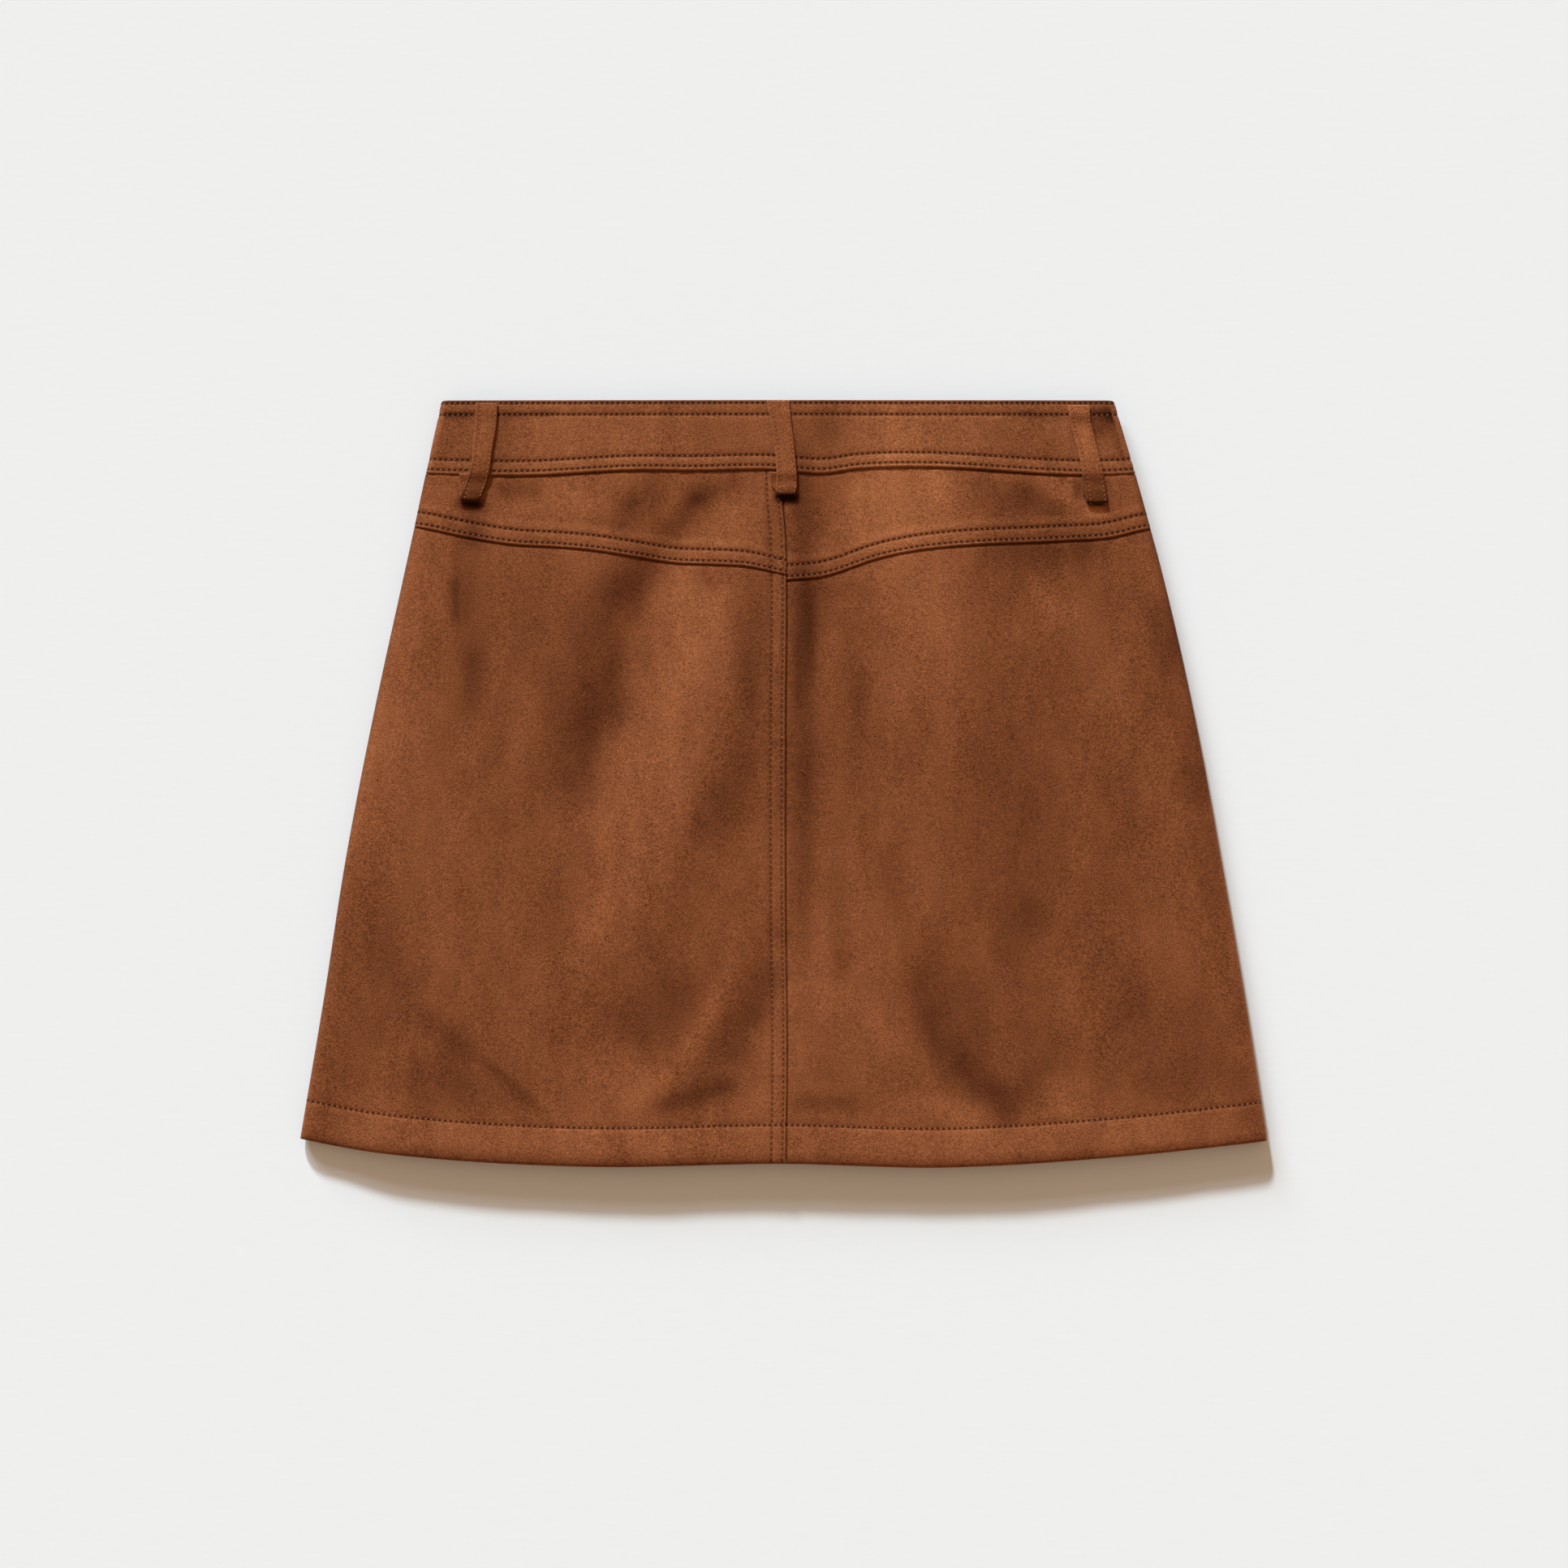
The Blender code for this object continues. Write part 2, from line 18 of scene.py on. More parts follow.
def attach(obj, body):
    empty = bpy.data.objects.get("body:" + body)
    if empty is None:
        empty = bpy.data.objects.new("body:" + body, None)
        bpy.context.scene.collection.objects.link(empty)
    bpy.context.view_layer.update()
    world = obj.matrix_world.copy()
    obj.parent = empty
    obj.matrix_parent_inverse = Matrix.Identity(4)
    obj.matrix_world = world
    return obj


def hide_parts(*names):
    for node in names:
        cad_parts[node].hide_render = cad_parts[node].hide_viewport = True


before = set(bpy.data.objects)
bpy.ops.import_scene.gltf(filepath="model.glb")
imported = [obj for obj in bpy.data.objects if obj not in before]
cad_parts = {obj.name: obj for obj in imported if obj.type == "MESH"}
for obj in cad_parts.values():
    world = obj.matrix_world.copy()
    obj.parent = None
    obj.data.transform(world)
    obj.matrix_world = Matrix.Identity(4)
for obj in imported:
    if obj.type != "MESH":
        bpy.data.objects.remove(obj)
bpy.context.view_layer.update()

bl_info = {
    "name": "Faux suede skort",
    "version": (1, 0, 0),
    "blender": (4, 5, 0),
    "location": "3D View > Sidebar > Skort",
    "description": "Builds the cloth, stitching and studio of a mini skort laid flat",
    "category": "Object",
}

MM = 0.001

# ---- sizes shared with the solids, in millimetres ----

SUEDE = 1.5
SHORTS_CLOTH = 1.0
BAND_DEPTH = 3.0
HEM_DEPTH = 3.0
SEAM_GAP = 0.18
LAYER_GAP = 0.5
LAP_END = 10.5                  # a lap's step has died away this far from its edge
HEM_WIDTH = 20.9
FRONT_HEM_SET = 2.0
BAND_RISE = 0.75
MEAN_HALF = 230.0
BACK_ROLL = 12.0
ROLL_FULLNESS = 3.4             # 2 makes the rolled side round; more makes it squarer
FRONT_ROLL = 4.0
BAND_ROLL = 4.0
MEAN_RUN = MEAN_HALF - BACK_ROLL
OVERLAP_END = 12.0
TAB_START = 24.0
TAB_SET = 14.0
TAB_END = 18.0
TAB_DEPTH = 1.5
LOOP_WIDTH = 11.5
SHORTS_INSET = 15.0
SHORTS_TOP_GAP = 1.0
BAND_TOP = 205.4
SIDE_WAIST = 166.0
SIDE_YOKE = 137.0
SIDE_HEM = -190.5
RAMP_LOW = 137.8
RAMP_HIGH = 154.1
CROTCH = -62.0
CROTCH_X = 4.5


def table(kind, rows):
    """Rows of numbers as a tuple of one kind of named row."""
    return tuple(kind(*row) for row in rows)


Side = namedtuple("Side", "y left right")
SIDES = table(Side, (
    (SIDE_HEM, -259.7, 259.0), (-114.7, -246.9, 247.3), (-38.7, -235.0, 234.3), (37.3, -220.3, 220.3),
    (113.4, -203.7, 203.0), (SIDE_WAIST, -192.1, 188.4), (BAND_TOP, -183.5, 176.8),
))
Edge = namedtuple("Edge", "x y")
LOWER_EDGE = table(Edge, (
    (-259.7, -190.2), (-216.0, -197.7), (-110.0, -204.9), (0.0, -203.4), (85.0, -205.4), (178.0, -199.8),
    (259.0, -191.3),
))
WAIST_SEAM = table(Edge, (
    (-192.1, SIDE_WAIST), (-135.0, 164.8), (-77.0, 167.6), (-45.0, 167.4), (-8.0, 168.0), (22.0, 165.9),
    (40.0, 168.4), (75.0, 169.3), (155.0, 165.1), (188.4, SIDE_WAIST),
))
YOKE_SEAM_LEFT = table(Edge, (
    (-198.7, 137.8), (-170.0, 131.9), (-145.0, 128.0), (-120.0, 126.5), (-100.0, 124.6), (-77.0, 121.1),
    (-57.0, 118.1), (-35.0, 117.2), (-18.0, 116.0), (0.0, 111.7),
))
YOKE_SEAM_RIGHT = table(Edge, (
    (0.0, 108.9), (18.0, 110.9), (47.0, 120.3), (66.0, 124.3), (90.0, 127.0), (150.0, 130.0),
    (174.0, 131.6), (197.0, 136.9),
))
Centre = namedtuple("Centre", "y x")
CENTRE_BACK = table(Centre, (
    (-205.0, 1.1), (-145.0, 1.8), (-60.0, 0.9), (30.0, 0.9), (115.0, 1.3), (135.0, 0.6), (155.0, -1.1),
    (205.0, -1.9),
))
Level = namedtuple("Level", "y floor fold shoulder crown leg")
LEVELS = table(Level, (
    (-205.0, 0.0, 3.4, 10.0, 1.6, 1.2), (-150.0, 0.0, 3.2, 9.4, 1.7, 1.2),
    (-40.0, 0.0, 3.0, 8.8, 2.0, 1.2), (60.0, 0.0, 3.0, 8.8, 2.0, 1.2), (RAMP_LOW, 0.0, 3.2, 9.0, 1.8, 0.4),
    (RAMP_HIGH, 3.0, 6.1, 9.5, 1.6, 0.4), (BAND_TOP, 3.0, 6.3, 9.6, 1.6, 0.4),
))
Inseam = namedtuple("Inseam", "y left right")
INSEAMS = table(Inseam, (
    (-168.0, -40.0, 62.0), (-140.0, -29.0, 50.0), (-110.0, -16.0, 34.0), (-80.0, -3.0, 15.0),
    (CROTCH, 4.0, 5.0),
))

# ---- how the cloth lies, in millimetres ----

# Painted shade (below 0) and painted light (above 0) at the outermost edge of the rolled sides, standing in
# for how the key light falls on them
RollPaintedLight = namedtuple("RollPaintedLight", "y left right")
ROLL_PAINTED_LIGHT = table(RollPaintedLight, (
    (-205.0, 0.10, 0.60), (-100.0, -0.34, 0.95), (-20.0, -0.60, 0.50), (60.0, -0.60, -0.25),
    (130.0, -0.55, -0.45), (205.0, -0.45, -0.45),
))

# A ridge (rise above 0) or trough along a line from its upper end to its lower end
Fold = namedtuple("Fold", "x_top y_top x_low y_low half_width rise")
FOLDS = table(Fold, (
    (-84.0, 160.0, -150.0, -20.0, 24.0, 2.0), (-54.0, 150.0, -110.0, -10.0, 17.0, -2.4),
    (-8.0, 95.0, -74.0, -100.0, 22.0, 2.6), (92.0, 165.0, 98.0, -60.0, 26.0, 2.0),
    (150.0, 60.0, 140.0, -90.0, 18.0, -1.4), (74.0, -92.0, 114.0, -176.0, 18.0, -2.4),
    (-168.0, -139.0, -121.0, -179.0, 3.0, 0.40), (20.0, -110.0, 78.0, -172.0, 13.0, 1.5),
    (6.0, -70.0, -40.0, -170.0, 12.0, -2.2), (-200.0, -70.0, -128.0, -176.0, 16.0, 1.5),
))
# Strokes of tone, lighter (tone above 0) or darker, laid along lines in the same way: partly the nap's own
# brushing, partly painted shade and light of the folds, painted shade under and beside the belt loops, and
# painted light that thins the shadows cast below them
Brush = namedtuple("Brush", "x_top y_top x_low y_low half_width tone")
NAP_AND_SHADE_STROKES = table(Brush, (
    (-62, 162, -92, 146, 9, -0.20), (-78, 156, -88, 134, 8, -0.14), (-22, 163, -54, 150, 6, -0.24),
    (-40, 160, -66, 128, 7.5, -0.28), (-58, 156, -64, 144, 5, 0.14), (-26, 152, -36, 122, 12, 0.20),
    (-150, 154, -100, 150, 9, 0.22), (-104, 142, -82, 136, 5, -0.14), (-8, 156, -8, 108, 4, -0.16),
    (22, 162, 24, 130, 6, -0.10), (-169, 134, -168, 30, 8, -0.22), (-66, 124, -96, 96, 10, -0.22),
    (-96, 110, -104, 66, 13, -0.16), (-94, 72, -100, 30, 13, -0.24), (-88, 64, -92, 30, 6, -0.10),
    (-100, 36, -116, -8, 12, -0.26), (-38, 112, -62, 40, 13, 0.24), (-64, 44, -100, -74, 21, 0.18),
    (-112, -146, -92, -172, 18, 0.14), (-99, -60, -98, -92, 10, 0.14), (-130, -88, -133, -122, 9, 0.08),
    (-138, 112, -130, 20, 18, -0.14), (-176, 132, -176, 84, 2.5, -0.14), (-177, 112, -176, 84, 6, -0.18),
    (-76, 116, -80, 84, 6, -0.12), (-46, 118, -37, 102, 5, -0.18), (-32, 108, -34, 84, 6, 0.14),
    (-84, 50, -90, 22, 6, -0.14), (-98, 4, -108, -12, 8, -0.12), (-98, 76, -100, 58, 6, 0.12),
    (-154, 44, -158, 6, 7, -0.10), (-172, 10, -170, -12, 6, -0.10), (-133, 54, -134, 20, 10, 0.08),
    (-56, 10, -60, -30, 14, 0.08), (-12, 112, -22, 30, 7, -0.20), (-24, 98, -22, 56, 6, -0.12),
    (-34, 6, -50, -36, 9, -0.20), (-22, 20, -26, -30, 8, -0.10), (10, 186, 11, 60, 8, -0.30),
    (10, 80, 11, -84, 7, -0.24), (36, 164, 40, 124, 9, 0.18), (66, 172, 68, 136, 22, 0.22),
    (110, 168, 146, 166, 5, 0.14), (82, 170, 83, 150, 7, 0.16), (68, 128, 74, 30, 18, 0.20),
    (84, 124, 86, 64, 6, 0.12), (29, 104, 42, 16, 8, -0.15), (40, 8, 40, -28, 6, -0.14),
    (50, 118, 52, 90, 6, 0.12), (120, -84, 122, -112, 10, -0.10), (14, 104, 15, 52, 5, -0.18),
    (27, 84, 30, 62, 5, 0.10), (42, 64, 44, 40, 6, -0.10), (122, 162, 152, 141, 7, -0.20),
    (96, 158, 134, 146, 9, -0.12), (136, 164, 160, 147, 5, 0.24), (104, 122, 176, 126, 10, -0.24),
    (132, 104, 152, 84, 11, 0.20), (170, 82, 184, 10, 12, 0.10), (128, 16, 122, -96, 20, -0.11),
    (124, 96, 122, 30, 12, 0.12), (28, -40, 30, -106, 6, -0.18), (74, -116, 84, -150, 7, -0.12),
    (52, -40, 54, -62, 8, -0.08), (194, -156, 198, -172, 8, -0.12), (12, -150, 26, -156, 5, -0.12),
    (20, -104, 22, -124, 5, 0.10), (30, -88, 30, -106, 4, -0.12), (8, -74, 8, -110, 8, -0.10),
    (62, -24, 60, -80, 12, -0.09), (133, -62, 133, -80, 10, -0.18), (120, 100, 132, -160, 62, -0.07),
    (66, -98, 88, -152, 13, -0.20), (82, -100, 108, -162, 13, -0.14), (97, -94, 112, -142, 12, -0.14),
    (114, -162, 119, -180, 10, -0.35), (134, -150, 128, -168, 10, -0.18), (90, -148, 107, -168, 11, -0.27),
    (146, -134, 150, -160, 9, -0.12), (152, -158, 152, -176, 10, 0.14), (2, -169, 44, -172, 5, -0.20),
    (-2, -94, -17, -130, 8, -0.34), (-18, -122, -27, -152, 9, -0.22), (-24, -142, -30, -164, 9, -0.14),
    (-24, -160, -70, -173, 6.5, -0.34), (-22, -74, -30, -110, 8, 0.12), (-30, -108, -58, -150, 7, 0.30),
    (-58, -152, -84, -174, 8, 0.22), (-58, -106, -74, -136, 19, -0.26), (-88, -120, -84, -138, 10, -0.10),
    (62, -168, 98, -176, 6, 0.24), (-246, -166, -206, -178, 9, 0.09), (-222, -74, -196, -116, 10, -0.12),
    (-200, -120, -160, -148, 8, -0.20), (-162, -146, -132, -172, 4, -0.18),
    (-202, -150, -156, -168, 13, -0.18), (-156, 10, -158, -130, 9, -0.10), (-167, 74, -166, 34, 7, -0.10),
    (-72, -34, -76, -78, 13, 0.10), (-216, -16, -218, -46, 10, 0.12), (-196, 152, -232, -50, 12, 0.20),
    (186, -100, 200, -172, 14, -0.14), (216, -110, 226, -168, 18, -0.14), (197, 104, 203, 60, 6, -0.18),
    (190, -96, 192, -130, 10, -0.06), (210, -150, 212, -172, 9, -0.12), (226, -20, 231, -66, 6, -0.16),
    (213, 12, 218, -14, 6, -0.14), (7, 85, 7, 40, 3, -0.14), (-118, -60, -114, -108, 10, 0.08),
    (-104, -122, -100, -138, 9, 0.08), (244, -146, 248, -186, 8, -0.20), (202, 92, 226, -54, 6, -0.12),
    (-128, 190, -124, 174, 22, 0.16), (70, 190, 72, 176, 36, 0.14), (163, 198, 179, 197, 5, -0.46),
    (160, 190, 172, 188, 4, -0.26), (122, 197.5, 152, 196.5, 2, -0.30),
    (-185, 197.3, -165, 197.3, 2, -0.45), (-178, 199, -181, 176, 8, -0.10),
    (-153, 197, -120, 198, 2, -0.38), (24, 200, 25, 182, 8, -0.16), (-148, 200, -152, 158, 6, -0.16),
    (-156, 157.5, -128, 156.5, 5.5, -0.36), (-182, 160, -180, 146, 6, 0.10),
    (-166, 148, -166, 128, 8, -0.30), (-175, 150.6, -160, 149.6, 3.2, -0.60),
    (-6, 153.2, 8, 153.2, 2.8, -0.62), (-4.6, 153.6, 5.4, 153.6, 2, -0.48),
    (162, 146.4, 172, 146, 3, 0.58), (163, 149.6, 172, 149.4, 1.1, -0.75),
    (157.4, 163, 156.4, 152, 3, -0.34), (174, 203, 183, 172, 6, -0.24), (-230, -186, -10, -192, 9, 0.20),
    (20, -190, 200, -188, 9, 0.14),
))

STROKE_STRENGTH = 1.35                 # how strongly the strokes of nap tone and painted shade and light are laid in

# Topstitching: distances of the rows from the edge that they follow
YOKE_ROWS = (2.0, 8.0)
CENTRE_ROWS = (1.9, 7.8)
BAND_LOW_ROWS = (2.5, 7.8)
BAND_HIGH_ROWS = (1.75, 7.85)
LAP_RISE = 0.55
CENTRE_RISE = 0.35
CUT = 0.16                      # depth of the narrow cut under a row of stitches
RIM = 0.9                       # radius of a lapped edge, and of those that follow
HEM_EDGE = 1.5
BAND_EDGE = 1.2
SHORTS_EDGE = 0.8
LOOP_EDGE = 0.6
UNDER_LAP_SHADE = 0.35                # painted shade on the cloth where it goes under a lapped edge
CORNER_DROP = 1.8               # how much lower the wearer's left corner of the hem lies
FAR = 9.0                       # anything further than this from a row of stitches counts as far
VALLEYS = (0.05, 0.26)          # depth of the soft valley along the first row, and along the others


# ---- settings that a user may change ----

def colour_setting(name, description, default):
    return FloatVectorProperty(
        name=name, description=description, default=default, size=3, subtype="COLOR", min=0.0, max=1.0,
    )


def number_setting(name, description, default, **more):
    return FloatProperty(name=name, description=description, default=default, **more)


def angle_setting(name, description, degrees):
    return number_setting(name, description, math.radians(degrees), subtype="ANGLE")


class SkortClothSettings(bpy.types.PropertyGroup):
    """Colours and surface of the cloth."""

    panel_colour: colour_setting("Panels", "Colour of the back and front panels", (0.187, 0.0545, 0.0180))
    yoke_colour: colour_setting("Yokes", "Colour of the back yokes", (0.194, 0.0570, 0.0186))
    band_colour: colour_setting("Waistband", "Colour of the waistband", (0.206, 0.0620, 0.0207))
    loop_colour: colour_setting("Belt loops", "Colour of the belt loops", (0.214, 0.0635, 0.0206))
    shorts_colour: colour_setting("Shorts", "Colour of the inner shorts", (0.150, 0.052, 0.022))
    sheen: number_setting(
        "Sheen", "Soft light caught by the nap", 0.12, min=0.0, max=1.0, subtype="FACTOR",
    )
    fold_strength: number_setting("Folds", "How strongly the soft folds stand", 1.0, min=0.0, max=2.0)
    pucker: number_setting(
        "Puckers", "Height of the small waves along the seams, in millimetres", 0.16, min=0.0, max=1.0,
    )


class SkortStitchSettings(bpy.types.PropertyGroup):
    """The sewing thread."""

    thread_colour: colour_setting("Thread", "Colour of the sewing thread", (0.190, 0.068, 0.027))
    pitch: number_setting(
        "Stitch length", "From one stitch to the next, in millimetres", 3.0, min=1.0, max=6.0,
    )
    thread_width: number_setting(
        "Thread width", "Thickness of the thread, in millimetres", 0.70, min=0.1, max=1.5,
    )


class SkortStageSettings(bpy.types.PropertyGroup):
    """Floor, light and camera."""

    floor_colour: colour_setting("Floor", "Colour of the surface below", (0.800, 0.800, 0.785))
    key_height: angle_setting("Key height", "Height of the key light above the surface", 20.0)
    key_turn: angle_setting("Key turn", "Turn of the key light from the waist to the wearer's left", 15.0)
    key_strength: number_setting("Key strength", "Strength of the key light", 5.17, min=0.0)
    key_softness: angle_setting("Key softness", "Angle that the key light fills", 5.0)
    key_colour: colour_setting("Key colour", "Colour of both lights", (0.724, 0.876, 1.0))
    broad_height: angle_setting("Broad height", "Height of the broad light above the surface", 17.0)
    broad_turn: angle_setting("Broad turn", "Turn of the broad light to the wearer's left", 27.0)
    broad_strength: number_setting("Broad strength", "Strength of the broad light", 3.26, min=0.0)
    broad_softness: angle_setting("Broad softness", "Angle that the broad light fills", 20.0)
    fill_colour: colour_setting("Fill colour", "Colour of the light of the room", (1.0, 0.71, 0.487))
    fill_strength: number_setting("Fill strength", "Brightness of the room", 0.452, min=0.0)
    camera_distance: number_setting(
        "Camera distance", "From the camera to the surface", 1.991, unit="LENGTH",
    )
    lens: number_setting("Lens", "Focal length", 85.0, subtype="DISTANCE_CAMERA")


def cloth():
    return bpy.context.scene.skort_cloth


def stitching():
    return bpy.context.scene.skort_stitching


def stage_settings():
    return bpy.context.scene.skort_stage


# ---- curves and heights ----

def curve(rows, knot, value):
    """A smooth curve through one column of a table against another, flat beyond its ends."""
    knots = [getattr(row, knot) for row in rows]
    values = [getattr(row, value) for row in rows]
    slopes = [(b - a) / (q - p) for a, b, p, q in zip(values, values[1:], knots, knots[1:])]
    last = len(slopes) - 1

    def at(place):
        if place <= knots[0]:
            return values[0]
        if place >= knots[-1]:
            return values[-1]
        i = 0
        while place > knots[i + 1]:
            i += 1
        step = knots[i + 1] - knots[i]
        start = 0.5 * (slopes[max(i - 1, 0)] + slopes[i])
        end = 0.5 * (slopes[i] + slopes[min(i + 1, last)])
        t = (place - knots[i]) / step
        rise = (values[i + 1] - values[i]) * t * t * (3.0 - 2.0 * t)
        return values[i] + rise + step * t * (1.0 - t) * (start * (1.0 - t) - end * t)

    return at


def side_curves(rows):
    return {-1: curve(rows, "y", "left"), 1: curve(rows, "y", "right")}


SIDE_CURVE = side_curves(SIDES)
YOKE_CURVE = {-1: curve(YOKE_SEAM_LEFT, "x", "y"), 1: curve(YOKE_SEAM_RIGHT, "x", "y")}
WAIST_CURVE = curve(WAIST_SEAM, "x", "y")
HEM_CURVE = curve(LOWER_EDGE, "x", "y")
CENTRE_CURVE = curve(CENTRE_BACK, "y", "x")
INSEAM_CURVE = side_curves(INSEAMS)
ROLL_SHADE = side_curves(ROLL_PAINTED_LIGHT)


def seam_line(seams, side_y):
    """Height of a seam at a share of the way from the centre to a side, as a function of side and share."""
    ends = {side: SIDE_CURVE[side](side_y) for side in (-1, 1)}
    return lambda side, share: seams[side](share * ends[side])


waist_line = seam_line({-1: WAIST_CURVE, 1: WAIST_CURVE}, SIDE_WAIST)
yoke_line = seam_line(YOKE_CURVE, SIDE_YOKE)
hem_line = seam_line({-1: HEM_CURVE, 1: HEM_CURVE}, SIDE_HEM)


def level(value, y):
    """Read LEVELS in straight runs, so that flat stretches stay flat."""
    at = min(max(y, LEVELS[0].y), LEVELS[-1].y)
    low, high = next(pair for pair in zip(LEVELS, LEVELS[1:]) if at <= pair[1].y)
    share = (at - low.y) / (high.y - low.y)
    return getattr(low, value) * (1.0 - share) + getattr(high, value) * share


def strokes(rows, amount):
    """Sum of soft strokes at a point, as a function of x and y."""
    made = []
    for row in rows:
        run = Vector((row.x_low - row.x_top, row.y_low - row.y_top))
        length = max(run.length, 0.001)
        made.append((row.x_top, row.y_top, run.x / length, run.y / length, length,
                     row.half_width, getattr(row, amount)))

    def at(x, y):
        total = 0.0
        for x_top, y_top, along_x, along_y, length, width, rise in made:
            dx, dy = x - x_top, y - y_top
            across = (dx * along_y - dy * along_x) / width
            if across > 2.6 or across < -2.6:
                continue
            along = (dx * along_x + dy * along_y) / length
            past = abs(along - 0.5) - 0.24
            reach = max(0.24, 0.9 * width / length)
            if past > 2.6 * reach:
                continue
            ends = math.exp(-((past / reach) ** 2)) if past > 0.0 else 1.0
            total += rise * math.exp(-across * across) * ends
        return total

    return at


FOLD_HEIGHT = strokes(FOLDS, "rise")
NAP_AND_SHADE_TONE = strokes(NAP_AND_SHADE_STROKES, "tone")


def ease(share):
    """A smooth step from 0 to 1."""
    share = min(max(share, 0.0), 1.0)
    return share * share * (3.0 - 2.0 * share)


def bump(distance, half_width):
    """A soft rise to 1 where distance is 0."""
    return math.exp(-((distance / half_width) ** 2))


def rounded(distance, radius, least=0.0):
    """Share of a cloth's thickness that is left at a distance from its rounded edge."""
    if distance >= radius:
        return 1.0
    return max(least, math.sqrt(1.0 - (1.0 - distance / radius) ** 2))


def nearest(distance, rows):
    """How far a distance from an edge is from the nearest row of stitches."""
    return min((abs(distance - row) for row in rows), default=FAR)


def wobble(x, y, size, seed):
    """Smooth irregular waves from -1 to 1 that repeat about every size millimetres."""
    return noise.noise(Vector((x / size, y / size, seed)))


def back_height(x, y):
    """Height of the back's outer face, before laps and the rolled sides."""
    side = SIDE_CURVE[-1 if x < 0.0 else 1](y)
    share = min(abs(x / side), 1.0)
    crown = level("crown", y) * (1.0 - share * share)
    folds = FOLD_HEIGHT(x, y) * cloth().fold_strength
    folds += 0.35 * wobble(x, y * 0.6, 34.0, 4.0)
    return level("shoulder", y) + crown + folds * (1.0 - share ** 6)


# ---- edges, rows and puckers ----

def lap_profile(distance, rows, rise):
    """Height of a lapped edge above the cloth beside it: a rounded rim, then its two rows."""
    height = rise * (1.0 - ease((distance - rows[1] - 0.5) / 6.0))
    height -= rise * 1.1 * (1.0 - rounded(distance, RIM))
    return height + 0.16 * bump(distance - 0.85, 0.6) + row_grooves(distance, rows)


def row_grooves(distance, rows):
    """A narrow cut under each row of stitches, in a soft valley that is shallow by a nearby edge."""
    narrow = sum(bump(distance - row, 0.5) for row in rows)
    wide = sum(VALLEYS[row > 4.0] * bump(distance - row, 1.5) for row in rows)
    return -CUT * narrow - wide


def tucked(distance):
    """Cloth drawn down where it goes under a lapped edge."""
    return -0.35 * bump(distance, 0.9)


def puckers(along, distance, seed):
    """Short waves that the stitching pulls into a seam."""
    fade = math.exp(-abs(distance) / 9.0)
    wave = wobble(along, distance * 0.35, 4.5, seed)
    wave += 0.6 * wobble(along, distance * 0.2, 11.0, seed + 7.0)
    return cloth().pucker * 1.6 * wave * fade


def edge_offsets(rows, end):
    """Sections of a piece near a sewn edge, close together where it is rounded or stitched."""
    first, second = rows
    gap = second - first
    return (
        0.0, 0.08, 0.22, 0.45, 0.75, 1.1, first - 0.4, first, first + 0.4, first + 0.9,
        first + 0.27 * gap, first + 0.5 * gap, first + 0.7 * gap,
        second - 0.8, second - 0.4, second, second + 0.4, second + 0.9, second + 1.6, end,
    )


def spread(start, end, step):
    """Evenly spaced sections from start to end, both left out, about step apart."""
    count = max(1, round((end - start) / step))
    return [start + (end - start) * (i + 1) / count for i in range(count - 1)]


# ---- walls of cloth ----

Spot = namedtuple("Spot", "outer inner tone")
COLUMN_STEP = 1.7               # from one column of the back to the next


def spot_at(y, outer, inner, tone=0.0):
    """A spot whose outer and inner points are given as (x, z)."""
    return Spot(Vector((outer[0], y, outer[1])), Vector((inner[0], y, inner[1])), tone)


def shell(name, columns, rows, faces, seam_row=None, centre_column=None, seam_far=None, centre_far=None,
          pitch=None):
    """Build one piece as a closed wall of cloth, and return it with its grid of outer points.

    faces(column, row) gives a Spot. seam_row and centre_column are the indices of a stitched row
    and column, along which stitches are counted. seam_far and centre_far give, for a column and
    row, how far the spot is from the nearest row of stitches each way.
    """
    bm = bmesh.new()
    tone = bm.verts.layers.float.new("nap_tone")
    seam_layer = bm.verts.layers.float_vector.new("seam_stitches")
    centre_layer = bm.verts.layers.float_vector.new("centre_stitches")
    across, up = len(columns) - 1, len(rows) - 1
    bmesh.ops.create_grid(bm, x_segments=across, y_segments=up, size=0.5)
    extruded = bmesh.ops.extrude_face_region(bm, geom=bm.faces[:], use_keep_orig=True)
    behind = {item for item in extruded["geom"] if isinstance(item, bmesh.types.BMVert)}
    spots = [[faces(column, row) for row in rows] for column in columns]
    grid = [[spot.outer for spot in line] for line in spots]
    pitch = pitch or stitching().pitch
    seam_runs = run_lengths([line[seam_row] for line in grid]) if seam_row is not None else None
    centre_runs = run_lengths(grid[centre_column]) if centre_column is not None else None
    for vert in bm.verts:
        i = round((vert.co.x + 0.5) * across)
        j = round((vert.co.y + 0.5) * up)
        spot = spots[i][j]
        vert.co = (spot.inner if vert in behind else spot.outer) * MM
        vert[tone] = spot.tone
        for layer, runs, k, far in (
            (seam_layer, seam_runs, i, seam_far), (centre_layer, centre_runs, j, centre_far),
        ):
            away = FAR if vert in behind or far is None else min(far(columns[i], rows[j]), FAR)
            vert[layer] = (runs[k] / pitch if runs else 0.0, away, 0.0)
    bmesh.ops.recalc_face_normals(bm, faces=bm.faces[:])
    if bm.calc_volume(signed=True) < 0.0:
        bmesh.ops.reverse_faces(bm, faces=bm.faces[:])
    return finish_mesh(bm, name), grid


def finish_mesh(bm, name):
    mesh = bpy.data.meshes.new(name)
    bm.to_mesh(mesh)
    bm.free()
    mesh.shade_smooth()
    piece = bpy.data.objects.new(name, mesh)
    bpy.context.scene.collection.objects.link(piece)
    return piece


def run_lengths(points):
    """Distance along a line of points, at each of them."""
    lengths = [0.0]
    for a, b in zip(points, points[1:]):
        lengths.append(lengths[-1] + (b - a).length)
    return lengths


# ---- sewing thread ----

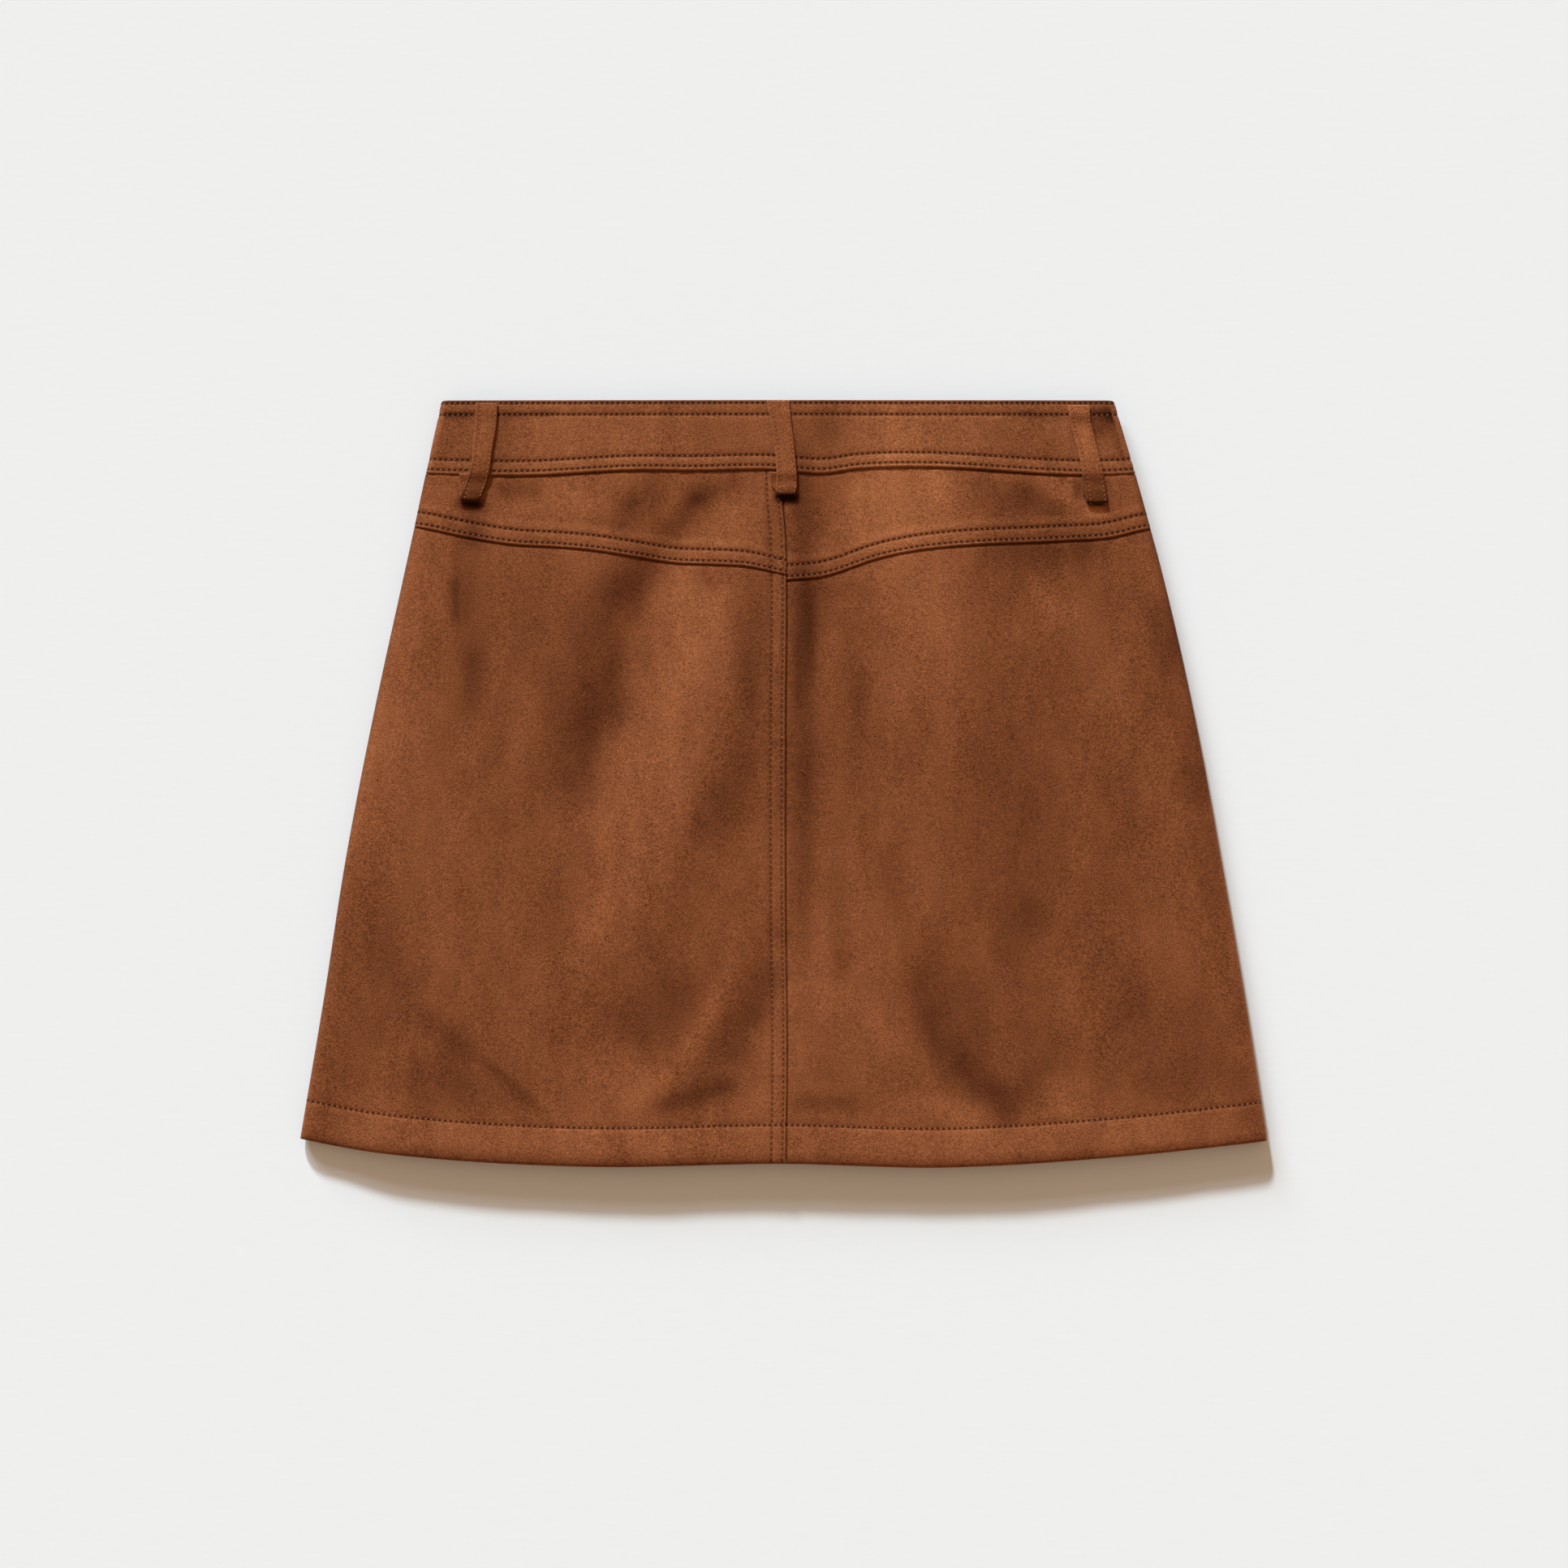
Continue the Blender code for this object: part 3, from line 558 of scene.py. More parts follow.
Line = namedtuple("Line", "points outward lengths")
STITCH_HALF = (0.26, 0.31)      # least and most of half a stitch's length, as shares of the pitch
STITCH_TURN = (0.12, 0.34)      # how far stitches lie across their row
STITCH_SPREAD = (0.9, 1.1)      # their widths, as shares of the thread's width
STITCH_RISE = 0.06              # height of a stitch's middle above the cloth
STITCH_DIP = 0.34               # how far its ends dip


def grid_lines(grid, rows=(), columns=()):
    """Lines along chosen rows and columns of a piece's grid.

    Rows are (row, first column, last column), and columns in the same way. Lengths are counted
    along the first row or column given, so that stitches in neighbouring rows stay in step.
    """
    last_i, last_j = len(grid) - 1, len(grid[0]) - 1

    def line(places, lengths):
        outward = []
        for i, j in places:
            across = grid[min(i + 1, last_i)][j] - grid[max(i - 1, 0)][j]
            up = grid[i][min(j + 1, last_j)] - grid[i][max(j - 1, 0)]
            outward.append(across.cross(up).normalized())
        return Line([grid[i][j] for i, j in places], outward, lengths)

    lines = []
    for j, start, end in rows:
        lengths = run_lengths([column[rows[0][0]] for column in grid])
        lines.append(line([(i, j) for i in range(start, end + 1)], lengths[start:end + 1]))
    for i, start, end in columns:
        lengths = run_lengths(grid[columns[0][0]])
        lines.append(line([(i, j) for j in range(start, end + 1)], lengths[start:end + 1]))
    return lines


def sew(name, lines, flip, pitch=None, width=None, seed=1, thread=("sewing_thread", 1.0)):
    """Stitches of real thread along lines on a piece, each a small lens that dips at its ends."""
    pitch = pitch or stitching().pitch
    width = width or stitching().thread_width
    draw = random.Random(seed)
    bm = bmesh.new()
    lens = bmesh.new()
    bmesh.ops.create_uvsphere(lens, u_segments=6, v_segments=5, radius=1.0)
    form = [vert.co.copy() for vert in lens.verts]
    stitch = bpy.data.meshes.new("stitch")
    for points, outward, lengths in lines:
        i = 0
        for k in range(math.ceil(lengths[0] / pitch), math.floor(lengths[-1] / pitch)):
            middle = (k + 0.5) * pitch
            while lengths[i + 1] < middle:
                i += 1
            share = (middle - lengths[i]) / max(lengths[i + 1] - lengths[i], 1e-6)
            place = points[i].lerp(points[i + 1], share)
            along = points[min(i + 2, len(points) - 1)] - points[max(i - 1, 0)]
            out = outward[i].lerp(outward[i + 1], share) * flip
            lay_stitch(lens, form, place, along, out, pitch, width, draw)
            lens.to_mesh(stitch)
            bm.from_mesh(stitch)
    lens.free()
    bpy.data.meshes.remove(stitch)
    bmesh.ops.recalc_face_normals(bm, faces=bm.faces[:])
    piece = finish_mesh(bm, name)
    thread_name, lightness = thread
    piece.data.materials.append(material(thread_name, fill_thread, lightness))
    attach(piece, "root")
    return piece


def lay_stitch(lens, form, place, along, out, pitch, width, draw):
    """Move the lens to one stitch, turned a little and bent so that its ends dip."""
    along = along.normalized()
    out = (out - along * out.dot(along)).normalized()
    along = (along + out.cross(along) * draw.uniform(*STITCH_TURN)).normalized()
    side = out.cross(along)
    half_length = pitch * draw.uniform(*STITCH_HALF)
    half = 0.5 * width * draw.uniform(*STITCH_SPREAD)
    for vert, local in zip(lens.verts, form):
        dip = STITCH_RISE - STITCH_DIP * local.z * local.z
        vert.co = (place + along * local.z * half_length + side * local.x * half
                   + out * (local.y * half * 0.8 + dip)) * MM


# ---- materials ----

# Where the cloth is darker, from its nap or from painted shade, green and blue fall faster than red, so
# dark cloth is a richer brown
DEEPENING = (1.0, 1.2, 1.38)
# Noises that make up the nap; those that are drawn out run with it
Layer = namedtuple("Layer", "name drawn_out scale detail roughness amount")
NAP_LAYERS = table(Layer, (
    ("grain", False, 1250.0, 0.0, 0.5, 1.10), ("fibres", False, 2600.0, 0.0, 0.5, 1.00),
    ("clumps", False, 420.0, 1.0, 0.4, 0.42), ("tufts", True, 120.0, 1.0, 0.4, 0.34),
    ("patches", True, 42.0, 1.0, 0.4, 0.50), ("drifts", True, 13.0, 1.0, 0.5, 0.55),
))
NAP_STRETCH = (1.0, 0.45, 1.0)
NAP_TURN = math.radians(12.0)
HOLE_SHADE = 0.68               # how much painted shade darkens the cloth in needle holes
CENTRE_HOLES = 0.50             # those beside the centre seam, as a share of the others
LINE_SHADE = 0.11               # how much painted shade darkens the line of a row


def feed(tree, target, socket, source):
    """Give a socket a value, or link it to (node, output)."""
    if isinstance(source, tuple) and isinstance(source[0], bpy.types.Node):
        tree.links.new(source[0].outputs[source[1]], target.inputs[socket])
    else:
        target.inputs[socket].default_value = source


def feed_all(tree, target, sources):
    for socket, source in sources.items():
        feed(tree, target, socket, source)


def add_node(tree, kind, sources=None, **settings):
    made = tree.nodes.new(kind)
    for key, value in settings.items():
        setattr(made, key, value)
    feed_all(tree, made, sources or {})
    return made


def sum_up(tree, operation, *sources):
    return add_node(tree, "ShaderNodeMath", dict(enumerate(sources)), operation=operation), 0


def noise_at(tree, vector, scale, detail, roughness=0.5):
    sources = {"Vector": vector, "Scale": scale, "Detail": detail, "Roughness": roughness}
    return add_node(tree, "ShaderNodeTexNoise", sources, noise_dimensions="3D"), "Fac"


def remap(tree, source, low, high, to_low, to_high):
    sources = {"Value": source, "From Min": low, "From Max": high, "To Min": to_low, "To Max": to_high}
    return add_node(tree, "ShaderNodeMapRange", sources, interpolation_type="SMOOTHSTEP"), "Result"


def on_object(tree):
    return add_node(tree, "ShaderNodeTexCoord"), "Object"


def stretched(tree, place, scale, turn=0.0):
    """Coordinates that are scaled and turned, so that noise on them runs one way."""
    sources = {"Vector": place, "Scale": scale, "Rotation": (0.0, 0.0, turn)}
    return add_node(tree, "ShaderNodeMapping", sources, vector_type="POINT"), "Vector"


def tint(tree, shader, colour, shade):
    """Colour a shader with one colour that is lighter and darker as shade varies."""
    tinted = add_node(tree, "ShaderNodeVectorMath", {0: colour, "Scale": shade}, operation="SCALE")
    feed(tree, shader, "Base Color", (tinted, "Vector"))


def relief(tree, shader, height, strength, distance):
    sources = {"Strength": strength, "Distance": distance, "Height": height}
    feed(tree, shader, "Normal", (add_node(tree, "ShaderNodeBump", sources), "Normal"))


def material(name, fill, *details):
    """The material of this name, filled by fill(tree, shader, *details) when it is first wanted."""
    made = bpy.data.materials.get(name)
    if made is None:
        made = bpy.data.materials.new(name)
        made.use_nodes = True
        fill(made.node_tree, made.node_tree.nodes["Principled BSDF"], *details)
    return made


def shared_effect(tree, name, inputs, outputs, fill, sources):
    """A node that uses the group of this name, filled by fill(group, start, end) when first wanted."""
    group = bpy.data.node_groups.get(name)
    if group is None:
        group = bpy.data.node_groups.new(name, "ShaderNodeTree")
        for label, kind, default in inputs:
            socket = group.interface.new_socket(label, in_out="INPUT", socket_type=kind)
            if default is not None:
                socket.default_value = default
        for label, kind in outputs:
            group.interface.new_socket(label, in_out="OUTPUT", socket_type=kind)
        fill(group, add_node(group, "NodeGroupInput"), add_node(group, "NodeGroupOutput"))
    return add_node(tree, "ShaderNodeGroup", sources, node_tree=group)


def fill_nap_with_painted_shade(tree, start, end):
    """Nap: fine grain, pale fibre ends lit as painted glints, soft patches, and the tone laid into a piece,
    which holds painted shade and light as well as the nap's own tone.
    """
    spot = on_object(tree)
    lying = stretched(tree, spot, NAP_STRETCH, NAP_TURN)
    made = {}
    shade = 1.0 - 0.5 * sum(layer.amount for layer in NAP_LAYERS)
    for name, drawn_out, scale, detail, roughness, amount in NAP_LAYERS:
        made[name] = noise_at(tree, lying if drawn_out else spot, scale, detail, roughness)
        shade = sum_up(tree, "MULTIPLY_ADD", made[name], amount, shade)
    glint = remap(tree, made["fibres"], 0.66, 0.80, 0.0, 0.30)
    shade = sum_up(tree, "ADD", shade, glint)
    lying_tone = sum_up(tree, "ADD", (start, "Tone"), 1.0)
    lying_tone = sum_up(tree, "MULTIPLY", lying_tone, (start, "Dark"))
    shade = sum_up(tree, "MAXIMUM", sum_up(tree, "MULTIPLY", shade, lying_tone), 0.05)
    deeper = {channel: sum_up(tree, "POWER", shade, power) for channel, power in enumerate(DEEPENING)}
    richer = add_node(tree, "ShaderNodeCombineXYZ", deeper)
    tinted = {0: (start, "Colour"), 1: (richer, "Vector")}
    height = sum_up(tree, "MULTIPLY_ADD", made["clumps"], 0.8, made["grain"])
    feed_all(tree, end, {
        "Colour": (add_node(tree, "ShaderNodeVectorMath", tinted, operation="MULTIPLY"), "Vector"),
        "Roughness": sum_up(tree, "MULTIPLY_ADD", made["patches"], -0.12, 0.95),
        "Height": sum_up(tree, "MULTIPLY_ADD", made["fibres"], 0.5, height),
    })


def fill_pits(tree, start, end):
    """Masks for painted shade in the holes where the thread goes through, and along the line that the row
    draws in the cloth.
    """
    parts = add_node(tree, "ShaderNodeSeparateXYZ", {0: (start, "Stitches")})
    share = sum_up(tree, "FRACT", sum_up(tree, "ADD", (parts, "X"), 0.5))
    along = sum_up(tree, "ABSOLUTE", sum_up(tree, "SUBTRACT", share, 0.5))
    along = sum_up(tree, "POWER", sum_up(tree, "DIVIDE", along, 0.38), 2.6)
    across = sum_up(tree, "POWER", sum_up(tree, "DIVIDE", (parts, "Y"), 0.88), 2.0)
    feed(tree, end, "Pits", remap(tree, sum_up(tree, "ADD", along, across), 0.0, 1.35, 1.0, 0.0))
    feed(tree, end, "Line", remap(tree, (parts, "Y"), 0.1, 1.3, 1.0, 0.0))


def pits_node(tree, attribute):
    source = add_node(tree, "ShaderNodeAttribute", attribute_name=attribute)
    return shared_effect(
        tree, "stitch_pits", (("Stitches", "NodeSocketVector", None),),
        (("Pits", "NodeSocketFloat"), ("Line", "NodeSocketFloat")),
        fill_pits, {"Stitches": (source, "Vector")},
    )


def fill_suede(tree, shader, colour, holes):
    """Faux suede: nap, a laid-in tone of nap and painted shade, painted shade in the stitch holes, and a
    soft sheen.
    """
    seam = pits_node(tree, "seam_stitches")
    centre = pits_node(tree, "centre_stitches")
    upright = sum_up(tree, "MULTIPLY", (centre, "Pits"), CENTRE_HOLES)
    pits = sum_up(tree, "MAXIMUM", (seam, "Pits"), upright)
    line = sum_up(tree, "MAXIMUM", (seam, "Line"), (centre, "Line"))
    dark = sum_up(tree, "MULTIPLY_ADD", pits, -holes, 1.0)
    dark = sum_up(tree, "MULTIPLY_ADD", line, -LINE_SHADE, dark)
    painted_and_nap_tone = add_node(tree, "ShaderNodeAttribute", attribute_name="nap_tone")
    nap = shared_effect(
        tree, "brushed_nap",
        (("Colour", "NodeSocketColor", (0.24, 0.074, 0.029, 1.0)), ("Tone", "NodeSocketFloat", 0.0),
         ("Dark", "NodeSocketFloat", 1.0)),
        (("Colour", "NodeSocketColor"), ("Roughness", "NodeSocketFloat"), ("Height", "NodeSocketFloat")),
        fill_nap_with_painted_shade, {"Colour": (*colour, 1.0), "Tone": (painted_and_nap_tone, "Fac"), "Dark": dark},
    )
    relief(tree, shader, sum_up(tree, "MULTIPLY_ADD", pits, -0.5, (nap, "Height")), 0.35, 0.00016)
    feed_all(tree, shader, {
        "Base Color": (nap, "Colour"),
        "Roughness": (nap, "Roughness"),
        "Specular IOR Level": 0.10,
        "Specular Tint": (1.0, 0.62, 0.42, 1.0),
        "Sheen Weight": cloth().sheen,
        "Sheen Roughness": 0.45,
        "Sheen Tint": (1.0, 0.72, 0.52, 1.0),
    })


def fill_thread(tree, shader, lightness):
    twist = noise_at(tree, on_object(tree), 2600.0, 1.0)
    shade = sum_up(tree, "MULTIPLY_ADD", twist, 0.9 * lightness, 0.55 * lightness)
    tint(tree, shader, stitching().thread_colour, shade)
    relief(tree, shader, twist, 0.3, 0.0001)
    feed_all(tree, shader, {"Roughness": 0.6, "Specular IOR Level": 0.08})


def fill_knit(tree, shader):
    """A fine matt knit with narrow ribs up the garment."""
    spot = on_object(tree)
    waves = {"Vector": spot, "Scale": 420.0, "Distortion": 0.6}
    ribs = add_node(tree, "ShaderNodeTexWave", waves, wave_type="BANDS", bands_direction="X"), "Fac"
    patches = noise_at(tree, spot, 60.0, 3.0)
    shade = sum_up(tree, "MULTIPLY_ADD", ribs, 0.3, 0.7)
    shade = sum_up(tree, "MULTIPLY_ADD", patches, 0.25, shade)
    tint(tree, shader, cloth().shorts_colour, shade)
    relief(tree, shader, ribs, 0.5, 0.0003)
    feed_all(tree, shader, {"Roughness": 0.85, "Sheen Weight": 0.15})


def fill_floor(tree, shader, colour):
    """Pale paper with faint streaks across it."""
    streaks = noise_at(tree, stretched(tree, on_object(tree), (0.12, 1.0, 1.0)), 500.0, 2.0)
    tint(tree, shader, colour, sum_up(tree, "MULTIPLY_ADD", streaks, 0.03, 0.985))
    feed_all(tree, shader, {"Roughness": 0.9, "Specular IOR Level": 0.1})


# ---- back panels and yokes ----

def from_centre_rows(c, _):
    return nearest(c, CENTRE_ROWS)


def sewn_piece(name, columns, lows, parts, highs, edges, faces, low_rows, flip, seed, high_rows=(),
               skipped=1, beside_centre=None):
    """A wall of cloth and its thread, as (piece, thread).

    The wall's rows lie at the distances lows above its lower edge, then in even parts, then at
    highs below its upper edge. edges(column) gives the heights of the two edges, and
    faces(column, y, from_low, from_high) gives a Spot. Stitches run along low_rows and high_rows,
    up to the skipped last columns, and up CENTRE_ROWS from the row with the index beside_centre.
    """
    rows = [("low", offset) for offset in lows]
    rows += [("part", k / parts) for k in range(1, parts)]
    rows += [("high", offset) for offset in highs]
    stitched = [rows.index(("low", offset)) for offset in low_rows]
    stitched += [rows.index(("high", offset)) for offset in high_rows]
    centre = [columns.index(offset) for offset in CENTRE_ROWS] if beside_centre else []

    def place(column, row):
        low, high = edges(column)
        kind, value = row
        if kind == "low":
            y = low + value
        elif kind == "high":
            y = high - value
        else:
            y = low + lows[-1] + value * (high - low - lows[-1] - highs[0])
        return y, y - low, high - y

    def seam_far(column, row):
        _, from_low, from_high = place(column, row)
        return min(nearest(from_low, low_rows), nearest(from_high, high_rows))

    piece, grid = shell(
        f"{name}_suede", columns, rows, lambda column, row: faces(column, *place(column, row)),
        stitched[0], centre[0] if centre else None, seam_far, from_centre_rows if centre else None,
    )
    lines = grid_lines(grid, rows=[(j, 0, len(columns) - skipped) for j in stitched])
    lines += grid_lines(grid, columns=[(i, beside_centre, len(rows) - 1) for i in centre])
    return piece, sew(f"{name}_thread", lines, flip, seed=seed)


def across_at(side, c, y):
    """Distance from the centre seam and angle round the rolled side, for a column c."""
    start = CENTRE_CURVE(y) + side * SEAM_GAP / 2
    run = abs(SIDE_CURVE[side](y) - start) - BACK_ROLL
    flat = min(c, MEAN_RUN)
    distance = flat
    if flat > LAP_END:
        distance = LAP_END + (flat - LAP_END) / (MEAN_RUN - LAP_END) * (run - LAP_END)
    angle = 0.0
    if c > MEAN_RUN:
        angle = math.asin(min((c - MEAN_RUN) / BACK_ROLL, 1.0))
    return start, distance, angle


def back_spot(side, c, y, detail, depth, tone, from_edge=math.inf, radius=1.0):
    """A spot of the back, raised by detail. from_edge is how far it is from an edge rounded to radius."""
    start, distance, angle = across_at(side, c, y)
    x_flat = start + side * distance
    fold = level("fold", y) + SEAM_GAP / 2
    under = depth * rounded(from_edge, radius, 0.06)
    top = back_height(x_flat, y) + detail - (depth - under) / 2 - fold
    full = (1.0 - math.sin(angle) ** ROLL_FULLNESS) ** (1.0 / ROLL_FULLNESS)
    # the tone takes in the strokes, which are partly nap and partly painted shade and light, and the
    # painted shade and light of the rolled sides' edges
    tone = tone + STROKE_STRENGTH * NAP_AND_SHADE_TONE(x_flat, y) + ROLL_SHADE[side](y) * math.sin(angle) ** 6
    outer = (x_flat + side * BACK_ROLL * math.sin(angle), fold + top * full)
    inner = (x_flat + side * (BACK_ROLL - under) * math.sin(angle), fold + (top - under) * full)
    return spot_at(y, outer, inner, tone)


def side_columns():
    """Columns of half the back, from the centre seam to the side fold."""
    near = list(edge_offsets(CENTRE_ROWS, LAP_END))
    far = spread(LAP_END, MEAN_RUN, COLUMN_STEP)
    turns = (0, 12, 24, 36, 48, 60, 70, 80, 90)
    return near + far + [MEAN_RUN + BACK_ROLL * math.sin(math.radians(turn)) for turn in turns]


def trough_by_seam(c, y):
    """The right half slopes down from the lapped seam to the end of the allowance, then eases back."""
    ends = ease((112.0 - y) / 16.0) * ease((y + 110.0) / 60.0)
    down = c / 15.5 if c < 15.5 else 1.0 - ease((c - 15.5) / 60.0)
    return -1.3 * down * ends


HEM_ROWS = (0.0, 0.15, 0.4, 0.8, 1.3, 2.0, 3.0, 4.2, 5.6, 7.5, 10.0, 12.5, 15.0, 17.5, 19.3, 20.0,
            HEM_WIDTH, 21.0, 21.8, 23.0)


def back_panel(side, word):
    def edges(c):
        return hem_line(side, c / MEAN_HALF), yoke_line(side, c / MEAN_HALF) - SEAM_GAP / 2

    def faces(c, y, from_hem, from_yoke):
        detail = tucked(from_yoke) + puckers(c, from_yoke, 2.0 * side)
        detail += row_grooves(from_hem, (HEM_WIDTH,))
        detail += 0.30 * (1.0 - ease((from_hem - HEM_WIDTH + 0.5) / 1.2))
        detail += 0.8 * puckers(c, from_hem - HEM_WIDTH, 5.0 * side)
        detail -= 1.0 * max(0.0, 1.0 - from_hem / 7.0) ** 2
        depth = SUEDE
        # painted shade where the hem rolls under, and under the yoke's lapped edge
        tone = -0.10 * max(0.0, 1.0 - from_hem / 5.0) - UNDER_LAP_SHADE * bump(from_yoke, 0.6)
        if side < 0:
            detail += lap_profile(c, CENTRE_ROWS, CENTRE_RISE) + 0.7 * puckers(y, c - 4.0, 11.0)
            detail -= CORNER_DROP * ease((c - 185.0) / 35.0) * ease((-145.0 - y) / 45.0)
            depth += CENTRE_RISE * (1.0 - ease((c - 8.0) / 2.5))
        else:
            detail += tucked(c) + trough_by_seam(c, y) + 0.6 * puckers(y, c, 13.0)
            # painted shade of the left panel's lapped edge on the right panel
            tone -= (0.24 + 0.22 * ease((y + 100.0) / 80.0)) * bump(c, 0.8)
        if from_hem <= HEM_WIDTH + 0.01:
            depth = HEM_DEPTH
        return back_spot(side, c, y, detail, depth, tone, from_hem, HEM_EDGE)

    return sewn_piece(
        f"back_panel_{word}", side_columns(), HEM_ROWS, 157, (5.0, 3.4, 2.4, 1.7, 1.2, 0.8, 0.4, 0.0),
        edges, faces, (HEM_WIDTH,), side, 11 + side, beside_centre=2 if side < 0 else None,
    )


def back_yoke(side, word):
    def edges(c):
        share = c / MEAN_HALF
        return yoke_line(side, share) + SEAM_GAP / 2, waist_line(side, share) - SEAM_GAP / 2

    def faces(c, y, from_low, from_high):
        lapped = lap_profile(from_low, YOKE_ROWS, LAP_RISE)
        # painted shade under the waistband's lapped edge
        tone = -UNDER_LAP_SHADE * bump(from_high, 0.6)
        if side < 0:
            beside = lap_profile(c, CENTRE_ROWS, CENTRE_RISE)
            detail = max(lapped, beside) if from_low > 1.2 else lapped
            detail += 0.6 * puckers(y, c - 4.0, 11.0)
        else:
            detail = lapped + tucked(c) + 0.5 * puckers(y, c, 13.0)
            if from_low < 11.0:
                for ridge in (15.0, 17.2, 19.6):
                    detail += 0.20 * bump(c - ridge, 0.55) * bump(from_low - 5.0, 4.0)
            # painted shade of the left yoke's lapped edge on the right yoke
            tone -= 0.46 * bump(c, 0.8)
        detail += tucked(from_high) + puckers(c, from_low - 3.0, 2.0 * side)
        detail += 0.8 * puckers(c, from_high, 3.0 * side)
        depth = SUEDE + LAP_RISE * (1.0 - ease((from_low - 8.0) / 2.5))
        return back_spot(side, c, y, detail, depth, tone)

    return sewn_piece(
        f"back_yoke_{word}", side_columns(), edge_offsets(YOKE_ROWS, LAP_END), 34,
        (4.0, 2.8, 2.0, 1.4, 1.0, 0.6, 0.3, 0.0), edges, faces, YOKE_ROWS, side, 21 + side,
        beside_centre=3 if side < 0 else None,
    )


# ---- front panels and shorts ----

def front_panel(side, word):
    width = MEAN_HALF - FRONT_ROLL
    columns = [(c / width, 0.0) for c in (0.0, *spread(0.0, width, 7.0), width)]
    columns += [(1.0, turn) for turn in (0.15, 0.3, 0.45, 0.6, 0.75, 0.9, 1.0)]

    def edges(column):
        share, _ = column
        low = hem_line(side, share) + FRONT_HEM_SET * (1.0 - share)
        return low, waist_line(side, 1.0) - SEAM_GAP / 2

    def faces(column, y, from_hem, _):
        share, turn = column
        half = abs(SIDE_CURVE[side](y)) - SEAM_GAP / 2
        angle = turn * math.pi / 2
        depth = HEM_DEPTH if from_hem <= HEM_WIDTH else SUEDE
        thick = depth * rounded(from_hem, HEM_EDGE, 0.08)
        fold = level("fold", y) - SEAM_GAP / 2
        rise = fold - level("floor", y) - (depth - thick) / 2
        start = side * SEAM_GAP / 2
        distance = share * (half - FRONT_ROLL)
        outer_x = start + side * (distance + FRONT_ROLL * math.sin(angle))
        inner_x = start + side * (distance + (FRONT_ROLL - thick) * math.sin(angle))
        inner_z = fold - (rise - thick) * math.cos(angle)
        return spot_at(y, (outer_x, fold - rise * math.cos(angle)), (inner_x, inner_z))

    return sewn_piece(
        f"front_panel_{word}", columns, (0.0, 0.3, 0.8, 1.5, 4.0, 12.0, 19.5, HEM_WIDTH, 21.5), 60, (0.0,),
        edges, faces, (HEM_WIDTH,), -side, 31 + side,
    )


def shorts_piece(side, word, layer, layer_word):
    lowest, top = INSEAMS[0].y, SIDE_WAIST - SHORTS_TOP_GAP
    rows = [lowest + d for d in (0.0, 0.3, 0.8, 2.0, 8.0, 14.0, 18.0)] + spread(-150.0, top, 5.0) + [top]
    columns = [i / 30.0 for i in range(31)]

    def inner_edge(y):
        if y <= CROTCH:
            return INSEAM_CURVE[side](y)
        share = (y - CROTCH) / (SIDE_WAIST - CROTCH)
        return CROTCH_X * (1.0 - share) ** 2

    def faces(share, y):
        near = inner_edge(y) + side * SEAM_GAP / 2
        far = SIDE_CURVE[side](y) - side * SHORTS_INSET
        x = near + share * (far - near)
        low = level("floor", y) + SUEDE + LAYER_GAP + layer * (SHORTS_CLOTH + level("leg", y))
        low += 0.18 * wobble(x, y, 26.0, 3.0 + layer) * ease((RAMP_LOW - y) / 20.0)
        middle = low + SHORTS_CLOTH / 2
        half = SHORTS_CLOTH / 2 * rounded(y - lowest, SHORTS_EDGE, 0.1)
        return spot_at(y, (x, middle + half), (x, middle - half))

    return shell(f"shorts_{layer_word}_{word}_knit", columns, rows, faces)[0]


# ---- waistband ----

def band_columns():
    """Columns of the waistband in order: the outer end, round the back, to the tab."""
    shares = [i / 24.0 for i in range(25)]
    back = [0.0] + spread(0.0, MEAN_RUN, 1.5) + [MEAN_RUN]
    angles = [15.0 * k for k in range(-5, 6)]
    return (
        [("front", 1, share) for share in shares]
        + [("turn", 1, angle) for angle in angles]
        + [("back", 1, c) for c in reversed(back)]
        + [("back", -1, c) for c in back[1:]]
        + [("turn", -1, angle) for angle in reversed(angles)]
        + [("front", -1, share) for share in reversed(shares)]
        + [("tab", -1, TAB_SET), ("tab", -1, 0.0), ("tab", 1, TAB_END)]
    )


def band_detail(along, from_low, from_high, side):
    """Height of the waistband's outer face over its plain form."""
    detail = -0.8 * (1.0 - rounded(from_low, RIM))
    detail += 0.16 * bump(from_low - 1.1, 0.7)
    detail += row_grooves(from_low, BAND_LOW_ROWS) + row_grooves(from_high, BAND_HIGH_ROWS)
    detail += puckers(along, from_low - 5.0, 31.0 + side) + puckers(along, from_high - 5.0, 37.0 + side)
    return detail


BAND_TOP_ROWS = (11.0, 10.4, 9.7, 9.0, 8.55, 8.2, 7.85, 7.5, 7.1, 6.4, 5.2, 3.8, 3.0, 2.5, 2.1,
                 1.75, 1.4, 1.0, 0.6, 0.3, 0.1, 0.0)


